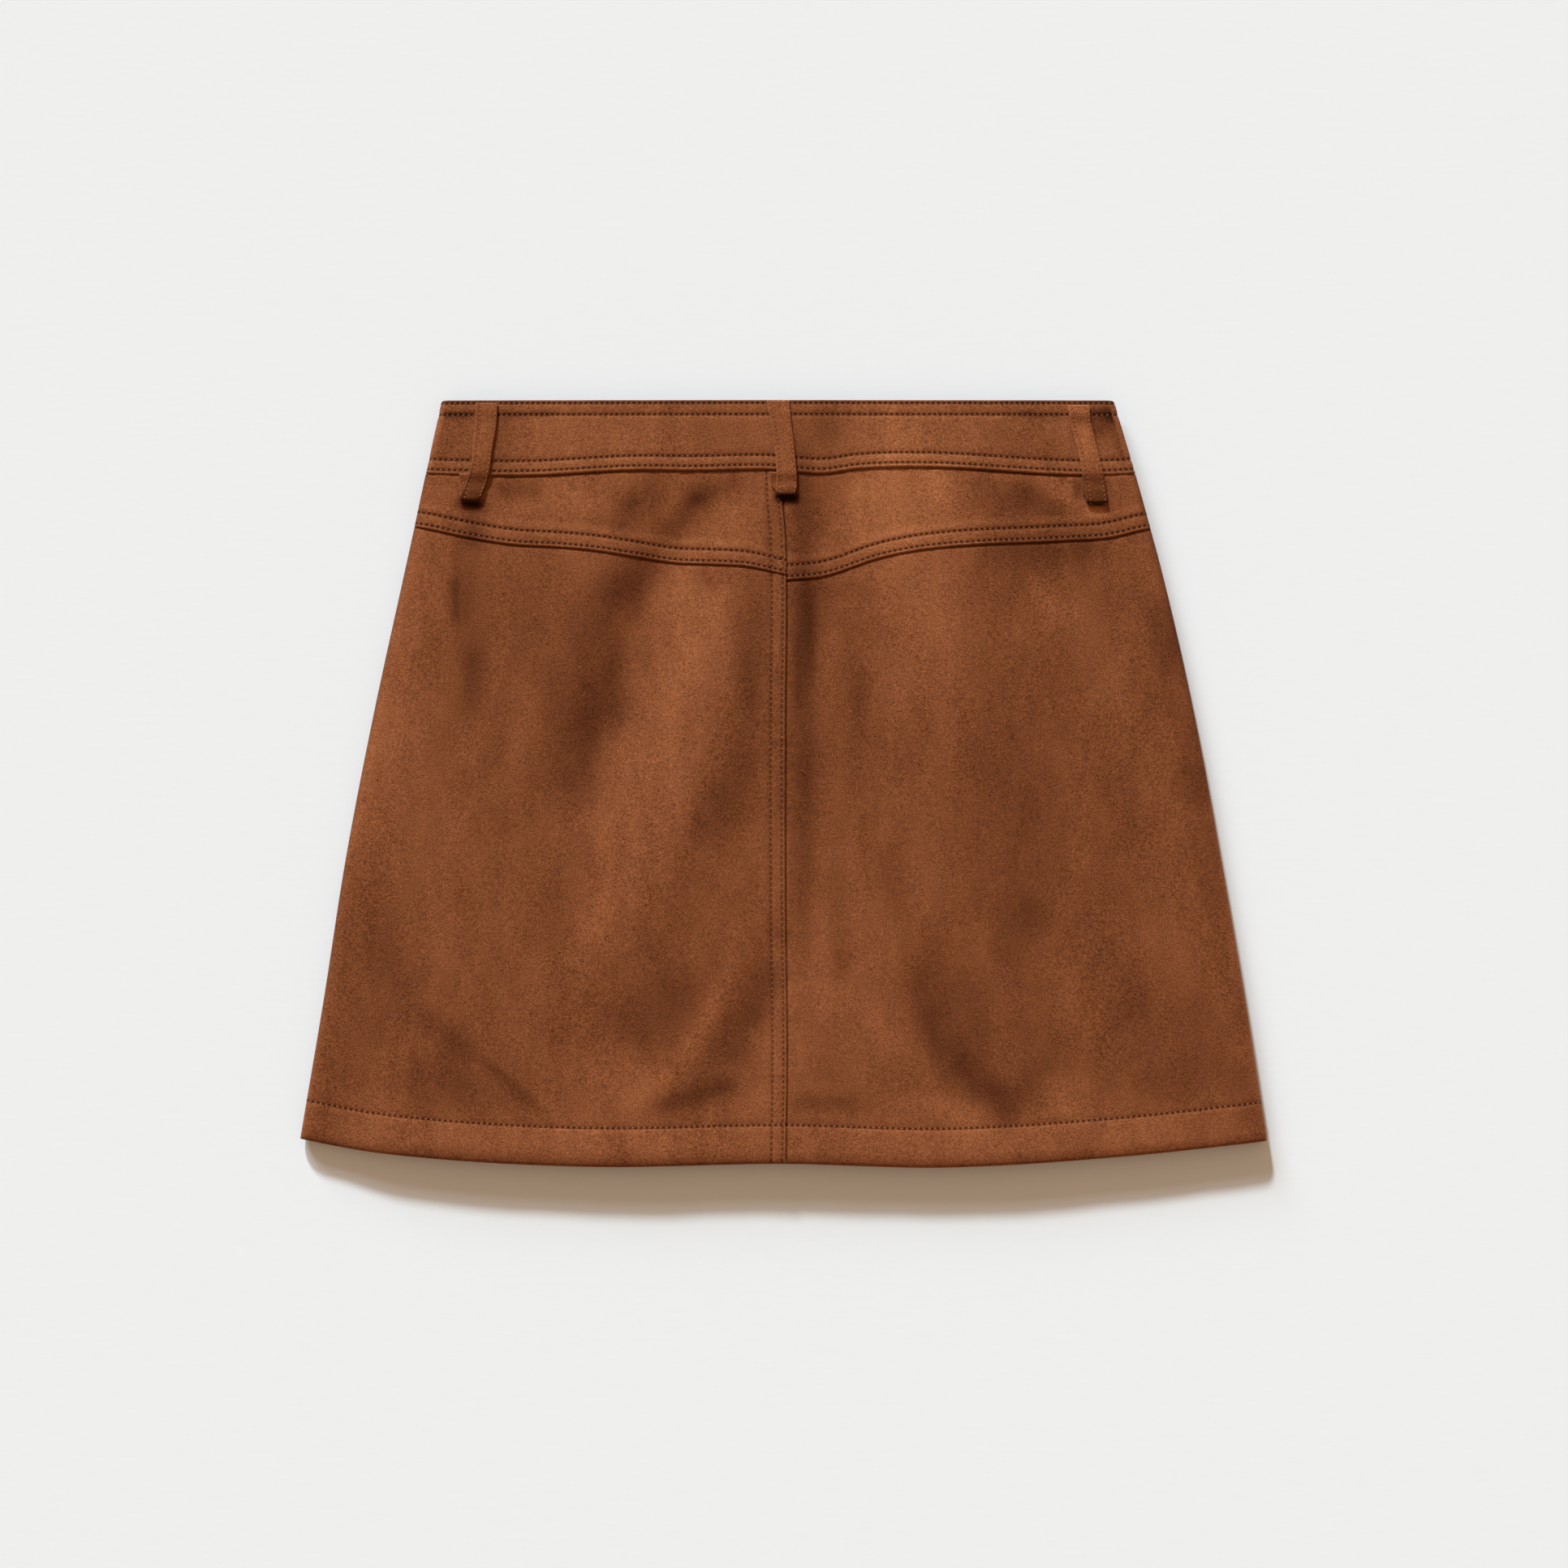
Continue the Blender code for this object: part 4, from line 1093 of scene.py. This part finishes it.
def waistband():
    def edges(column):
        kind, side, value = column
        share = value / MEAN_HALF if kind == "back" else 1.0
        return waist_line(side, share) + SEAM_GAP / 2, BAND_TOP

    def faces(column, y, from_low, from_high):
        kind, side, value = column
        floor = level("floor", y)
        half = abs(SIDE_CURVE[side](y))
        flat = half - BAND_ROLL
        left = rounded(from_high, BAND_EDGE, 0.06)
        set_in = BAND_DEPTH / 2 * (1.0 - left)
        # slightly lighter across the top strip, with painted shade along the top edge
        tone = 0.03 * ease((8.3 - from_high) / 1.0) - 0.55 * ease((2.0 - from_high) / 0.9)

        def top_at(x):
            return back_height(x, y) + BAND_RISE * (1.0 - abs(x / half) ** 6)

        if kind == "front":
            start = -OVERLAP_END if side > 0 else TAB_START
            x = side * (start + value * (flat - start))
            low = floor + set_in - min(band_detail(x, from_low, from_high, side), 0.0)
            return spot_at(y, (x, low), (x, floor + BAND_DEPTH - set_in), tone)
        if kind == "tab":
            middle = floor + BAND_DEPTH + SEAM_GAP + TAB_DEPTH / 2
            thin = TAB_DEPTH / 2 * left
            return spot_at(y, (side * value, middle - thin), (side * value, middle + thin), tone)
        if kind == "turn":
            angle = math.radians(value)
            roof = top_at(side * flat)
            middle, rise = (floor + roof) / 2, (roof - floor) / 2
            detail = band_detail(side * (flat + 4.0 - value / 12.0), from_low, from_high, side)

            def at(out):
                x = side * (flat + (BAND_ROLL + out) * math.cos(angle))
                return x, middle + (rise + out) * math.sin(angle)

            return spot_at(y, at(detail - set_in), at(set_in - BAND_DEPTH), tone)
        centre = CENTRE_CURVE(y)
        x = centre + side * value / MEAN_RUN * abs(side * flat - centre)
        top = top_at(x) + band_detail(x, from_low, from_high, side)
        # the strokes of nap tone and painted shade and light
        tone += STROKE_STRENGTH * NAP_AND_SHADE_TONE(x, y)
        return spot_at(y, (x, top - set_in), (x, top - BAND_DEPTH + set_in), tone)

    return sewn_piece(
        "waistband", band_columns(), edge_offsets(BAND_LOW_ROWS, 11.5), 10, BAND_TOP_ROWS, edges, faces,
        BAND_LOW_ROWS, -1.0, 41, BAND_HIGH_ROWS, skipped=4,
    )


# ---- belt loops ----

# A strap lies at lift above the cloth below it, its left edge higher than its right by tilt; its tone is
# painted light and shade, darkest towards its turned-under end
Strap = namedtuple("Strap", "y left right lift tilt tone")
# corners are the radii of the soft corners, left and right, where the strap turns under
Loop = namedtuple("Loop", "word straps tail_left tail_right tail_top tail_tone corners")
BACK_LOOPS = (
    Loop("back_left", table(Strap, (
        (203.8, -164.9, -153.1, 0.10, 0.0, 0.00), (199.5, -165.0, -153.3, 0.35, 0.0, -0.06),
        (191.6, -165.3, -153.8, 0.30, 0.0, 0.02), (180.0, -166.4, -155.8, 0.45, 0.1, 0.00),
        (171.2, -167.1, -156.9, 0.70, 0.3, -0.20), (165.0, -168.8, -157.8, 0.90, 0.5, -0.40),
        (157.9, -171.5, -159.8, 0.80, 0.5, -0.52), (152.4, -173.6, -161.3, 0.45, 0.3, -0.62),
    )), -173.7, -163.4, 166.2, -0.15, (0.9, 4.0)),
    Loop("back_centre", table(Strap, (
        (205.0, -9.2, 3.0, 0.05, 0.0, 0.00), (199.0, -8.4, 3.4, 0.30, 0.0, 0.04),
        (191.0, -6.8, 4.3, 0.40, 0.0, 0.02), (183.0, -5.4, 5.4, 0.50, 0.0, 0.04),
        (174.0, -4.3, 6.2, 0.60, 0.0, 0.04), (165.0, -4.0, 6.9, 0.80, 0.0, -0.06),
        (158.0, -4.3, 6.9, 0.70, 0.0, -0.30), (155.2, -4.5, 6.6, 0.45, 0.0, -0.60),
    )), -7.2, 4.2, 166.8, -0.25, (1.8, 2.2)),
    Loop("back_right", table(Strap, (
        (202.6, 151.7, 163.2, 0.20, 0.0, 0.14), (198.5, 152.2, 163.6, 0.50, 0.0, 0.06),
        (193.8, 152.8, 164.2, 0.25, 0.0, -0.18), (189.5, 153.8, 165.0, 0.40, 0.0, 0.12),
        (180.0, 156.6, 167.2, 0.55, 0.0, 0.14), (171.2, 158.5, 169.4, 0.80, 0.0, 0.00),
        (163.6, 159.7, 171.3, 1.00, 0.0, -0.34), (156.0, 161.0, 172.4, 0.80, 0.0, -0.50),
        (152.4, 161.5, 172.9, 0.60, 0.0, -0.56), (150.6, 161.8, 173.1, 0.45, 0.0, -0.92),
    )), 159.6, 170.4, 165.4, -0.50, (1.2, 1.4)),
)
LOOP_CLOTH = 0.9
LOOP_BEND = 0.55                # radius of the strap's middle where it turns under
FRONT_LOOPS = (("front_left", -84.0, -85.0), ("front_right", 84.0, 85.0))
FRONT_LOOP_TOP = 203.0
FRONT_LOOP_LOW = 156.0
FRONT_LOOP_CLOTH = 1.2
FRONT_LOOP_BEND = 0.75
FRONT_LOOP_TAIL = 12.0
LOOP_ROWS = (2.4, LOOP_WIDTH - 1.2)  # across the strap, from its left edge
LOOP_PITCH = 2.4
LOOP_THREAD_WIDTH = 0.5
LOOP_HOLE_SHADE = 0.12
LOOP_THREAD = ("loop_thread", 1.7)       # its material, a copy of the thread painted lighter, and how much lighter it is than the rest
TOP_ROW = 1.1                   # a row across the strap, this far below its top


def loop_columns():
    """Distances across the strap from its left edge."""
    left = [0.0, 0.08, 0.22, 0.42, 0.8, 1.2, 1.6, 2.0, 2.4, 2.8, 3.4, 4.4, LOOP_WIDTH / 2, 7.2]
    return left + [LOOP_WIDTH - d for d in (3.0, 2.2, 1.6, 1.2, 0.8, 0.42, 0.22, 0.08, 0.0)]


def loop_shell(name, path, cloth_depth, facing, corners):
    """A strip of folded cloth along a path of (y, z, left, right, tilt, tone)."""
    columns = loop_columns()
    row_columns = [columns.index(row) for row in LOOP_ROWS]
    half = cloth_depth / 2
    stations = []
    for i, (y, z, left, right, tilt, tone) in enumerate(path):
        before, after = path[max(i - 1, 0)], path[min(i + 1, len(path) - 1)]
        run = Vector((0.0, after[0] - before[0], after[1] - before[1])).normalized()
        out = Vector((0.0, run.z, -run.y)) * facing
        stations.append((Vector((left, y, z + tilt / 2)), Vector((right, y, z - tilt / 2)), out, tone))
    runs = run_lengths([left.lerp(right, 0.5) for left, right, _, _ in stations])
    end_run = runs[min(range(len(path)), key=lambda k: path[k][0])]

    def drawn_up(across, k):
        """How far a spot near the turned end is drawn up by the soft corner beside it."""
        corner = corners[across > LOOP_WIDTH / 2]
        left = rounded(min(across, LOOP_WIDTH - across), corner)
        return corner * (1.0 - left) * bump(runs[k] - end_run, max(3.2, 1.5 * corner))

    def faces(across, k):
        left, right, out, tone = stations[k]
        inset = min(across, LOOP_WIDTH - across)
        middle = left.lerp(right, across / LOOP_WIDTH)
        middle.y += drawn_up(across, k)
        relief = -0.12 * bump(nearest(across, LOOP_ROWS), 0.6) + 0.10 * bump(inset - 0.75, 0.5)
        relief += 0.12 * bump(across - LOOP_WIDTH / 2, 2.4)
        relief -= 0.12 * bump(runs[k] - TOP_ROW, 0.5)
        relief += 0.08 * wobble(runs[k], across * 0.6, 5.0, 51.0)
        tone += 0.05 * wobble(runs[k], across, 7.0, 61.0)
        thin = half * rounded(inset, LOOP_EDGE, 0.08)
        return Spot(middle + out * (thin + relief), middle - out * thin, tone)

    ks = range(len(path))
    piece, grid = shell(
        f"{name}_suede", columns, ks, faces, None, row_columns[0], None,
        lambda across, _: nearest(across, LOOP_ROWS), LOOP_PITCH,
    )
    lines = grid_lines(grid, columns=[(i, 0, len(path) - 1) for i in row_columns])
    top = min(ks, key=lambda k: abs(runs[k] - TOP_ROW))
    lines += grid_lines(grid, rows=[(top, 4, len(columns) - 5)])
    return piece, sew(f"{name}_thread", lines, facing, LOOP_PITCH, LOOP_THREAD_WIDTH, 51, LOOP_THREAD)


def turned_under(count, radius):
    """Steps round the end of a strap, as (share of the turn, y, z) from where the turn starts."""
    for k in range(1, count + 1):
        angle = math.pi * k / count
        yield k / count, -radius * math.sin(angle), radius * (1.0 - math.cos(angle))


def back_loop(loop):
    """A strap down over the waistband, turned under at its lower end and back up to the seam."""
    half = LOOP_CLOTH / 2
    left, right, lift, tilt, tone = (
        curve(loop.straps[::-1], "y", value) for value in ("left", "right", "lift", "tilt", "tone")
    )
    top, low = loop.straps[0].y, loop.straps[-1].y

    def cloth_below(x, y):
        return back_height(x, y) + BAND_RISE * ease((y - 161.0) / 6.0) + 0.1

    path = []
    for k in range(61):
        y = top + (low + LOOP_BEND - top) * k / 60
        folded = 2.0 * LOOP_BEND * ease((166.0 - y) / 10.0)
        below = cloth_below(0.5 * (left(y) + right(y)), y)
        path.append((y, below + half + max(lift(y), folded + 0.05), left(y), right(y), tilt(y), tone(y)))
    y_end, z_end, left_end, right_end, tilt_end, tone_end = path[-1]
    for share, step, drop in turned_under(10, LOOP_BEND):
        # painted shade deepening round the turned-under end, towards the tail's painted shade
        shade = tone_end + (loop.tail_tone - tone_end) * share - 0.30 * ease(share * 2.5)
        path.append((y_end + step, z_end - drop, left_end, right_end, tilt_end * (1.0 - share), shade))
    y_back, z_back = path[-1][:2]
    for k in range(1, 13):
        share = k / 12
        y = y_back + (loop.tail_top - y_back) * share
        rest = cloth_below(0.5 * (loop.tail_left + loop.tail_right), y) + half
        aside = ease(share * 2.6)
        path.append((
            y, z_back + (rest - z_back) * ease(share * 2.5), left_end + (loop.tail_left - left_end) * aside,
            right_end + (loop.tail_right - right_end) * aside, 0.0, loop.tail_tone,
        ))
    return loop_shell(f"belt_loop_{loop.word}", path, LOOP_CLOTH, 1.0, loop.corners)


def front_loop(word, x_top, x_low):
    half = FRONT_LOOP_CLOTH / 2
    under_band = level("floor", FRONT_LOOP_TOP) - SEAM_GAP - half
    y_end = FRONT_LOOP_LOW + FRONT_LOOP_BEND
    line = []
    for k in range(25):
        y = FRONT_LOOP_TOP + (y_end - FRONT_LOOP_TOP) * k / 24
        share = ease((FRONT_LOOP_TOP - 5.0 - y) / 6.0)
        line.append((y, under_band + (half - under_band) * share))
    line += [(y_end + step, half + rise) for _, step, rise in turned_under(6, FRONT_LOOP_BEND)]
    tail = FRONT_LOOP_TAIL - FRONT_LOOP_BEND
    line += [(y_end + tail * k / 5, half + 2 * FRONT_LOOP_BEND) for k in range(1, 6)]
    path = []
    for y, z in line:
        share = (FRONT_LOOP_TOP - y) / (FRONT_LOOP_TOP - FRONT_LOOP_LOW)
        x = x_top + share * (x_low - x_top)
        path.append((y, z, x - LOOP_WIDTH / 2, x + LOOP_WIDTH / 2, 0.0, 0.0))
    return loop_shell(f"belt_loop_{word}", path, FRONT_LOOP_CLOTH, -1.0, (1.5, 1.5))


# ---- declarations ----

def slot_material(slot):
    """The material of a slot: knit for the shorts, and suede of its own colour for the rest."""
    if slot == "shorts_knit":
        return material(slot, fill_knit)
    kind = slot.removeprefix("suede_")
    holes = LOOP_HOLE_SHADE if kind == "loop" else HOLE_SHADE
    return material(f"faux_{slot}", fill_suede, getattr(cloth(), f"{kind}_colour"), holes)


def dress(piece, node_name, slot, thread=None):
    """Give a piece its material, attach it to the root and hide the solid of the model that it stands for.
    """
    piece.data.materials.append(slot_material(slot))
    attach(piece, "root")
    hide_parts(node_name)


SIDES_OF = ((-1, "left"), (1, "right"))


class SKORT_OT_back_panels(bpy.types.Operator):
    """Two back panels, lapped at the centre seam and hemmed, with their topstitching"""

    bl_idname = "skort.back_panels"
    bl_label = "Back panels"

    def execute(self, context):
        for side, word in SIDES_OF:
            piece, thread = back_panel(side, word)
            dress(
                piece, f"back_panel_{word}", "suede_panel",
                thread=thread,
            )
        return {"FINISHED"}


class SKORT_OT_back_yokes(bpy.types.Operator):
    """Two back yokes, lapped over the panels with two rows of stitches"""

    bl_idname = "skort.back_yokes"
    bl_label = "Back yokes"

    def execute(self, context):
        for side, word in SIDES_OF:
            piece, thread = back_yoke(side, word)
            dress(
                piece, f"back_yoke_{word}", "suede_yoke",
                thread=thread,
            )
        return {"FINISHED"}


class SKORT_OT_front_panels(bpy.types.Operator):
    """Two plain front panels that the garment rests on"""

    bl_idname = "skort.front_panels"
    bl_label = "Front panels"

    def execute(self, context):
        for side, word in SIDES_OF:
            piece, thread = front_panel(side, word)
            dress(
                piece, f"front_panel_{word}", "suede_panel", thread=thread,
            )
        return {"FINISHED"}


class SKORT_OT_shorts(bpy.types.Operator):
    """Four quarters of the inner shorts"""

    bl_idname = "skort.shorts"
    bl_label = "Inner shorts"

    def execute(self, context):
        for side, word in SIDES_OF:
            for layer, layer_word in ((0, "front"), (1, "back")):
                piece = shorts_piece(side, word, layer, layer_word)
                dress(
                    piece, f"shorts_{layer_word}_{word}", "shorts_knit",
                )
        return {"FINISHED"}


class SKORT_OT_waistband(bpy.types.Operator):
    """The folded waistband all round, with four rows of stitches"""

    bl_idname = "skort.waistband"
    bl_label = "Waistband"

    def execute(self, context):
        piece, thread = waistband()
        dress(
            piece, "waistband", "suede_band",
            thread=thread,
        )
        return {"FINISHED"}


class SKORT_OT_belt_loops(bpy.types.Operator):
    """Three belt loops at the back and two at the front"""

    bl_idname = "skort.belt_loops"
    bl_label = "Belt loops"

    def execute(self, context):
        made = [(loop.word, back_loop(loop)) for loop in BACK_LOOPS]
        made += [(word, front_loop(word, x_top, x_low)) for word, x_top, x_low in FRONT_LOOPS]
        for word, (piece, thread) in made:
            dress(
                piece, f"belt_loop_{word}", "suede_loop",
                thread=thread,
            )
        return {"FINISHED"}


class SKORT_OT_stage(bpy.types.Operator):
    """A pale floor, a soft key light, an even fill and the camera above"""

    bl_idname = "skort.stage"
    bl_label = "Stage"

    def execute(self, context):
        settings = stage_settings()
        scene = context.scene
        scene.view_settings.view_transform = "Standard"
        add_floor(settings)
        add_lights(settings, scene)
        add_camera(settings, scene)
        return {"FINISHED"}


FLOOR_HALF = 12.0               # half the floor's width and its height, in metres
FLOOR_HEIGHT = -0.0002
LAMP_DISTANCE = 3.0
WALL_COLOUR = (0.86, 0.86, 0.85, 1.0)


def add_floor(settings):
    bm = bmesh.new()
    bmesh.ops.create_grid(bm, x_segments=2, y_segments=2, size=FLOOR_HALF)
    bmesh.ops.translate(bm, verts=bm.verts[:], vec=(0.0, 0.0, FLOOR_HEIGHT))
    floor = finish_mesh(bm, "studio_floor")
    floor.data.materials.append(material("studio_paper", fill_floor, settings.floor_colour))


def add_lamp(word, settings, scene):
    """The distant light that the settings of this word describe."""
    height, turn, strength, softness = (
        getattr(settings, f"{word}_{key}") for key in ("height", "turn", "strength", "softness")
    )
    lamp = bpy.data.lights.new(f"{word}_light", "SUN")
    lamp.energy = strength
    lamp.angle = softness
    lamp.color = settings.key_colour
    holder = bpy.data.objects.new(f"{word}_light", lamp)
    towards = Vector((
        -math.sin(turn) * math.cos(height), math.cos(turn) * math.cos(height), math.sin(height),
    ))
    holder.rotation_euler = towards.to_track_quat("Z", "Y").to_euler()
    holder.location = towards * LAMP_DISTANCE
    scene.collection.objects.link(holder)


def add_lights(settings, scene):
    for word in ("key", "broad"):
        add_lamp(word, settings, scene)
    world = bpy.data.worlds.new("studio_room")
    world.use_nodes = True
    tree = world.node_tree
    light = tree.nodes["Background"]
    feed_all(tree, light, {"Color": (*settings.fill_colour, 1.0), "Strength": settings.fill_strength})
    wall = add_node(tree, "ShaderNodeBackground", {"Color": WALL_COLOUR})
    seen = add_node(tree, "ShaderNodeLightPath")
    choice = add_node(tree, "ShaderNodeMixShader", {
        0: (seen, "Is Camera Ray"), 1: (light, "Background"), 2: (wall, "Background"),
    })
    feed(tree, tree.nodes["World Output"], "Surface", (choice, "Shader"))
    scene.world = world


def add_camera(settings, scene):
    data = bpy.data.cameras.new("camera")
    data.lens = settings.lens
    data.sensor_width = 36.0
    data.clip_end = 50.0
    camera = bpy.data.objects.new("camera", data)
    camera.location = (0.0, 0.0, settings.camera_distance)
    scene.collection.objects.link(camera)
    scene.camera = camera


class SKORT_PT_sidebar(bpy.types.Panel):
    """Lists the steps that make the skort, with their settings"""

    bl_idname = "SKORT_PT_sidebar"
    bl_label = "Skort"
    bl_space_type = "VIEW_3D"
    bl_region_type = "UI"
    bl_category = "Skort"

    def draw(self, context):
        layout = self.layout
        for step in STEPS:
            layout.operator(step.bl_idname)
        for name in SETTINGS:
            settings = getattr(context.scene, name)
            box = layout.box()
            for key in settings.__annotations__:
                box.prop(settings, key)


STEPS = (
    SKORT_OT_back_panels, SKORT_OT_back_yokes, SKORT_OT_front_panels, SKORT_OT_shorts,
    SKORT_OT_waistband, SKORT_OT_belt_loops, SKORT_OT_stage,
)
SETTINGS = {
    "skort_cloth": SkortClothSettings,
    "skort_stitching": SkortStitchSettings,
    "skort_stage": SkortStageSettings,
}
CLASSES = (*SETTINGS.values(), *STEPS, SKORT_PT_sidebar)


def register():
    for made in CLASSES:
        bpy.utils.register_class(made)
    for name, kind in SETTINGS.items():
        setattr(bpy.types.Scene, name, PointerProperty(type=kind))


def unregister():
    for name in SETTINGS:
        delattr(bpy.types.Scene, name)
    for made in reversed(CLASSES):
        bpy.utils.unregister_class(made)


def main():
    register()
    bpy.ops.skort.back_panels()
    bpy.ops.skort.back_yokes()
    bpy.ops.skort.front_panels()
    bpy.ops.skort.shorts()
    bpy.ops.skort.waistband()
    bpy.ops.skort.belt_loops()
    bpy.ops.skort.stage()


if __name__ == "__main__":
    main()
